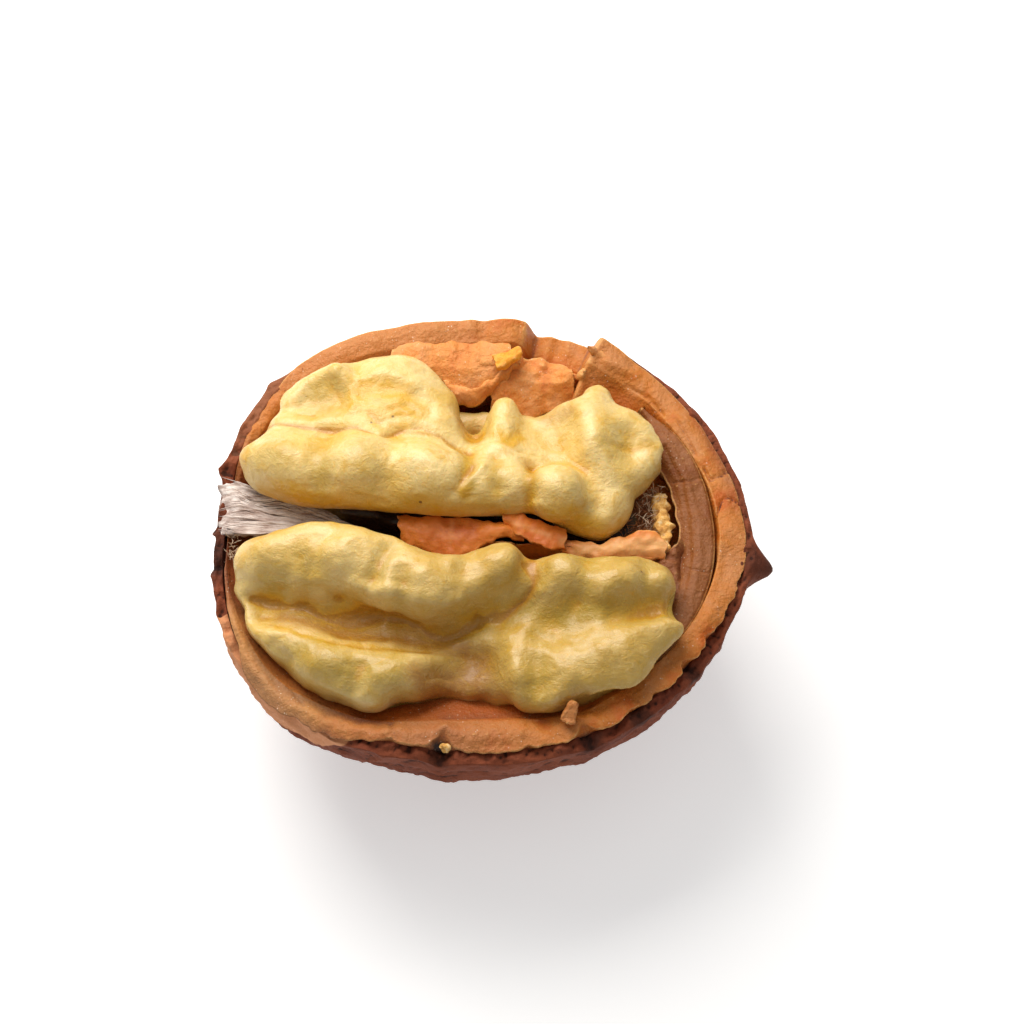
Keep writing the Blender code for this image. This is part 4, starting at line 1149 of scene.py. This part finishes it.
# %% Ribbons
def ribbon(stations, columns, rows, ripple=0.06, crown=0.25, seed=40, thick=0.22, droop=0.0):
    """A bent sheet through stations of (x, front y, front z, back y, back z), in millimetres."""
    bm = bmesh.new()
    bmesh.ops.create_grid(bm, x_segments=columns, y_segments=rows, size=0.5)
    grid = np.array([v.co for v in bm.verts])
    along, over = grid[:, 0] + 0.5, grid[:, 1] + 0.5
    x = stations[0][0] + (stations[-1][0] - stations[0][0]) * along
    front_y, front_z, back_y, back_z = (between([(s[0], s[i]) for s in stations], x) for i in (1, 2, 3, 4))
    points = np.stack([x, front_y + (back_y - front_y) * over, front_z + (back_z - front_z) * over], 1)
    points[:, 2] += crown * np.sin(math.pi * over) - droop * (1 - over) ** 3
    side, end = abs(2 * over - 1) ** 4, abs(2 * along - 1) ** 6
    points[:, 1] += side * (0.12 * wobble(points, 1.2, seed) + 0.06 * wobble(points, 0.4, seed + 1))
    points[:, 0] += end * (0.14 * wobble(points, 0.9, seed + 2) + 0.06 * wobble(points, 0.35, seed + 5))
    points[:, 2] += ripple * wobble(points, 1.4, seed + 3) + 0.5 * ripple * wobble(points, 0.5, seed + 4)
    for v, point in zip(bm.verts, points):
        v.co = at(*point)
    bmesh.ops.solidify(bm, geom=bm.faces[:], thickness=thick * MM)
    bmesh.ops.recalc_face_normals(bm, faces=bm.faces)
    return bm


def join(first, second):
    """Adds the second bmesh to the first."""
    extra = bpy.data.meshes.new("extra")
    second.to_mesh(extra)
    second.free()
    first.from_mesh(extra)
    bpy.data.meshes.remove(extra)


def partition_sheets():
    bm = ribbon([
        (-6.7, -0.2, 0.1, 1.5, 0.1), (-5.6, -0.9, 0.1, 1.5, 0.2), (-4.6, -1.4, 0.1, 1.4, 0.4),
        (-3.2, -2.0, 0.0, 1.3, 0.5), (-2.2, -2.1, 0.1, 1.2, 0.5), (-1.2, -1.6, 0.4, 1.1, 0.5),
        (-0.2, -0.9, 0.8, 1.0, 0.5), (1.2, -0.5, 0.9, 0.9, 0.4), (2.6, -0.6, 0.6, 0.6, 0.2),
    ], 70, 22, 0.09, 0.30, 41, 0.22, 0.25)
    join(bm, ribbon([
        (1.4, 0.5, 0.9, 1.4, 0.9), (2.4, -0.3, 1.0, 1.3, 0.9), (3.6, -1.0, 0.7, 1.0, 0.7),
        (4.8, -1.4, 0.5, 0.7, 0.6), (6.1, -1.4, 0.4, 0.3, 0.5),
    ], 44, 18, 0.08, 0.22, 51, 0.22, 0.1))
    join(bm, ribbon([
        (5.7, -1.3, -0.2, -0.3, -0.3), (7.4, -1.9, 0.0, -0.6, 0.0), (8.8, -2.2, 0.2, -0.8, 0.2),
        (10.1, -1.9, 0.3, -0.3, 0.4), (11.4, -1.9, 0.3, 0.1, 0.4), (12.6, -1.9, 0.2, 0.1, 0.3),
        (13.5, -1.9, 0.0, -0.6, 0.1),
    ], 70, 18, 0.12, 0.25, 61, 0.45, 0.2))
    # the web below, standing between the two halves of the kernel
    join(bm, ribbon([
        (-6.0, -0.1, -8.0, 0.0, 0.0), (-4.0, -0.5, -10.0, -0.5, 0.1), (0.0, -0.7, -12.0, -0.6, 0.2),
        (4.0, -0.9, -12.0, -0.8, 0.2), (8.0, -1.1, -10.0, -1.1, 0.1), (12.0, -1.0, -3.0, -1.0, 0.1),
    ], 60, 30, 0.10, 0.0, 71, 0.25))
    mesh = mesh_of(bm, "partition_sheets")
    all_masks(mesh, 4, 20)
    # the light orange torn end, and narrow painted highlights on the folds of the first two ribbons
    paint(mesh, "light", [
        (1.0, 1.3, [(7.0, -1.3), (13.6, -1.0)]), (0.25, 0.35, [(-2.6, 1.2), (-2.7, -0.8)]),
        (0.35, 0.4, [(2.2, 0.4), (3.4, 0.1), (4.6, -0.3)]), (0.6, 0.5, [(5.6, -0.8), (6.2, -0.6)]),
    ])
    return place_piece("partition_sheets", mesh, partition_paper, "partition_paper", "partition")


partition_sheets()

# %% Torn flaps at the back
def torn_flaps():
    # the pad that hangs over the lobe
    bm = ribbon([
        (-7.6, 14.6, -0.4, 17.2, -0.7), (-5.4, 14.4, -0.2, 17.6, -0.4), (-3.6, 13.9, -0.5, 17.7, -0.3),
        (-2.2, 13.0, -0.9, 17.6, -0.3), (-0.8, 12.9, -1.0, 17.5, -0.3), (0.4, 13.7, -0.6, 17.2, -0.3),
        (1.6, 15.0, -0.2, 16.8, -0.2),
    ], 56, 26, 0.09, 0.55, 81, 0.35, 0.5)
    # the deeper layer beside it, down to the kernel
    join(bm, ribbon([
        (0.2, 12.4, -2.2, 15.8, -1.0), (1.8, 11.8, -2.4, 16.0, -1.0), (3.6, 11.6, -2.4, 16.0, -1.2),
        (5.2, 12.0, -2.2, 15.6, -1.3), (6.8, 12.8, -1.8, 15.0, -1.0),
    ], 50, 26, 0.16, 0.55, 91, 0.4, 0.4))
    # the bright lower lip of the pad, and the pointed tab at the far side of the notch
    join(bm, ribbon([
        (-3.4, 13.0, -1.3, 13.8, -0.8), (-2.2, 12.3, -1.6, 13.2, -0.9), (-1.0, 12.2, -1.7, 13.2, -1.0),
        (0.2, 13.0, -1.4, 13.8, -0.8), (1.4, 14.0, -0.8, 14.8, -0.3), (2.4, 14.9, -0.2, 15.7, 0.2),
    ], 50, 10, 0.12, 0.2, 141, 0.25, 0.2))
    join(bm, ribbon([
        (7.8, 15.6, 1.1, 15.7, 1.2), (8.2, 15.3, 0.7, 15.8, 1.1), (8.8, 14.9, 0.2, 15.6, 0.6),
        (9.6, 14.6, 0.0, 15.2, 0.2), (10.4, 14.2, -0.2, 14.6, 0.0),
    ], 26, 10, 0.05, 0.15, 151, 0.3, 0.1))
    mesh = mesh_of(bm, "torn_flaps")
    all_masks(mesh, 5, 30, pinkish=0.5)
    return place_piece("torn_flaps", mesh, flap_orange, "shell_lining")


torn_flaps()

# %% [markdown]
# ## Fibres and hairs
# The cut bundle at the stem is a sheet of whitish fibres with loose strands over it. A strand is a thin tapered
# tube, so a bevelled curve along a short path makes it, and all of them together become one mesh.

# %% Strands
def strands(paths, sides):
    """Thin tapered tubes along (radius, points) paths in millimetres, as one mesh."""
    curve = bpy.data.curves.new("strands", "CURVE")
    curve.dimensions = "3D"
    curve.bevel_depth = MM
    curve.bevel_resolution = sides
    curve.use_fill_caps = True
    for radius, points in paths:
        spline = curve.splines.new("POLY")
        spline.points.add(len(points) - 1)
        for i, (spot, point) in enumerate(zip(spline.points, points)):
            spot.co = (*at(*point), 1)
            spot.radius = radius * (1 - 0.75 * abs(2 * i / (len(points) - 1) - 1) ** 3)
    holder = bpy.data.objects.new("strands", curve)
    bpy.context.scene.collection.objects.link(holder)
    mesh = bpy.data.meshes.new_from_object(holder.evaluated_get(bpy.context.evaluated_depsgraph_get()))
    bpy.data.objects.remove(holder, do_unlink=True)
    return mesh


def stem_fibres():
    bm = ribbon([
        (-20.5, 0.7, -1.9, 5.2, -1.7), (-19.4, 0.6, -1.2, 5.1, -1.0), (-18.0, 0.7, -1.1, 4.7, -1.0),
        (-16.0, 0.6, -1.4, 4.0, -1.3),
        (-13.0, 0.3, -1.9, 2.9, -1.8), (-10.0, 0.2, -2.6, 1.9, -2.5), (-7.4, 0.3, -3.6, 1.1, -3.5),
    ], 90, 40, 0.12, -0.25, 101, 0.5)
    draw, paths = random.Random(7), []
    for _ in range(90):
        lane = draw.uniform(-1, 1)
        start, end = draw.uniform(-20.6, -17.5), draw.uniform(-14.0, -8.0)
        x = np.linspace(start, end, 7)
        middle = between([(-20.6, 2.9), (-16, 2.2), (-10, 1.1), (-7, 0.7)], x)
        half = between([(-20.6, 2.3), (-16, 1.7), (-10, 0.85), (-7, 0.4)], x)
        top = between([(-20.6, -1.3), (-18.5, -0.9), (-16, -1.1), (-13, -1.7), (-10, -2.4), (-7, -3.4)], x)
        sway = np.stack([x, x * 0 + lane * 6, x * 0], 1)
        y = middle + half * (lane + 0.10 * wobble(sway, 2.0, 110))
        z = top + 0.08 + 0.10 * wobble(sway, 1.8, 111)
        paths.append((draw.uniform(0.05, 0.11), list(zip(x, y, z))))
    bm.from_mesh(strands(paths, 0))
    mesh = mesh_of(bm, "stem_fibre_bundle")
    all_masks(mesh, 3, 12)
    # darker at the cut end, and painted shade where the bundle goes down between the halves
    paint(mesh, "charred", [(0.6, 0.5, [(-20.6, 0.4), (-20.7, 5.4)]), (0.9, 2.4, [(-6.4, 0.6), (-7.2, 0.7)])])
    return place_piece("stem_fibre_bundle", mesh, fibre_white, "fibre", "stem_fibres")


stem_fibres()

# %% Brown packing between the kernel's end and the lining
def packing():
    bm = ribbon([
        (12.6, -3.0, -0.9, -1.6, -0.7), (13.4, -5.6, -0.7, -1.3, -0.3), (14.2, -7.6, -0.7, -0.8, -0.2),
        (14.9, -7.0, -0.9, 0.4, -0.6),
    ], 30, 50, 0.22, 0.1, 161, 0.9)
    mesh = mesh_of(bm, "tip_packing")
    all_masks(mesh, 5, 30, pinkish=0.5, brown=0.25)
    return place_piece("tip_packing", mesh, lining_tan, "shell_lining")


packing()

# %% Fuzz in the hollow beside the tip
def hairs(seed, count, low, high, lengths, sizes):
    """Short bent hairs that start at random points of a box given by two corners."""
    draw, paths = random.Random(seed), []
    for _ in range(count):
        start = Vector([draw.uniform(a, b) for a, b in zip(low, high)])
        lean = Vector((draw.uniform(-1, 1), draw.uniform(-1, 1), draw.uniform(0.1, 0.9))).normalized()
        bend = Vector((draw.uniform(-1, 1), draw.uniform(-1, 1), draw.uniform(-0.6, 0.3)))
        length = draw.uniform(*lengths)
        path = [start + lean * length * t + bend * 0.35 * t * t for t in (0, 0.3, 0.6, 0.85, 1)]
        paths.append((draw.uniform(*sizes), path))
    return strands(paths, 0)


def fuzz():
    bm = ribbon([
        (9.6, 0.6, -2.2, 3.0, -2.6), (10.8, 0.4, -1.8, 3.6, -2.2), (12.0, 0.4, -1.6, 4.4, -1.9),
        (13.2, 0.8, -1.6, 4.8, -1.6),
    ], 40, 40, 0.25, -0.5, 121, 0.5)
    bm.from_mesh(hairs(11, 110, (10.0, 0.8, -2.2), (13.0, 4.2, -1.4), (0.5, 1.3), (0.022, 0.05)))
    mesh = mesh_of(bm, "hollow_fuzz")
    all_masks(mesh, 3, 12)
    place_piece("hollow_fuzz", mesh, fibre_brown, "fibre")
    bm = bmesh.new()
    bm.from_mesh(hairs(12, 70, (11.4, 0.6, -1.5), (13.6, 4.6, -0.4), (0.4, 1.1), (0.014, 0.028)))
    bm.from_mesh(hairs(13, 40, (-19.6, -1.4, -2.0), (-18.9, 1.2, -1.2), (0.4, 0.9), (0.018, 0.035)))
    mesh = mesh_of(bm, "pale_hairs")
    all_masks(mesh, 3, 12)
    return place_piece("pale_hairs", mesh, hair_pale, "fibre")


fuzz()

# %% [markdown]
# ## Floor, light and camera
# A plain pale floor and soft light from overhead, a little from the back right, which is what gives the lobes
# their soft highlights and leaves a shadow under each ridge. The camera looks steeply down from the front.

# %% Floor and light
def matt(name, colour, glow):
    material, shader, _, _ = new_finish(name)
    shader.inputs["Base Color"].default_value = (*colour, 1)
    shader.inputs["Roughness"].default_value = 0.9
    shader.inputs["Emission Color"].default_value = (1, 1, 1, 1)
    shader.inputs["Emission Strength"].default_value = glow
    return material


def floor():
    bm = bmesh.new()
    bmesh.ops.create_grid(bm, x_segments=1, y_segments=1, size=2.0)
    mesh = mesh_of(bm, "floor")
    ground = bpy.data.objects.new("floor", mesh)
    bpy.context.scene.collection.objects.link(ground)
    mesh.materials.append(matt("floor_white", (0.88, 0.88, 0.88), 0.42))


def soft_light(name, place, size, energy):
    light = bpy.data.lights.new(name, "AREA")
    light.size = size
    light.energy = energy
    light.color = (1.0, 0.97, 0.92)
    lamp = bpy.data.objects.new(name, light)
    bpy.context.scene.collection.objects.link(lamp)
    lamp.location = place
    lamp.visible_camera = False
    lamp.rotation_euler = (Vector((0, 0, 0.015)) - lamp.location).to_track_quat("-Z", "Y").to_euler()


def sky(strength):
    world = bpy.data.worlds.new("studio")
    bpy.context.scene.world = world
    world.use_nodes = True
    background = world.node_tree.nodes["Background"]
    background.inputs["Color"].default_value = (1, 1, 1, 1)
    background.inputs["Strength"].default_value = strength


floor()
sky(0.34)
soft_light("key_light", (-0.034, 0.070, 0.110), 0.10, 0.215)
soft_light("fill_light", (0.02, -0.02, 0.28), 0.12, 0.03)

# %% Camera
CAMERA_ELEVATION = math.radians(64)
CAMERA_DISTANCE = 183.2
camera_data = bpy.data.cameras.new("camera")
camera_data.lens = 85
camera_data.sensor_width = 36
camera_data.clip_start = 0.01
camera = bpy.data.objects.new("camera", camera_data)
bpy.context.scene.collection.objects.link(camera)
back_off = Vector((0, -math.cos(CAMERA_ELEVATION), math.sin(CAMERA_ELEVATION))) * CAMERA_DISTANCE * MM
camera.location = at(1.9, 1.94, 0) + back_off
camera.rotation_euler = (math.pi / 2 - CAMERA_ELEVATION, 0, 0)
bpy.context.scene.camera = camera
bpy.context.scene.view_settings.view_transform = "Standard"
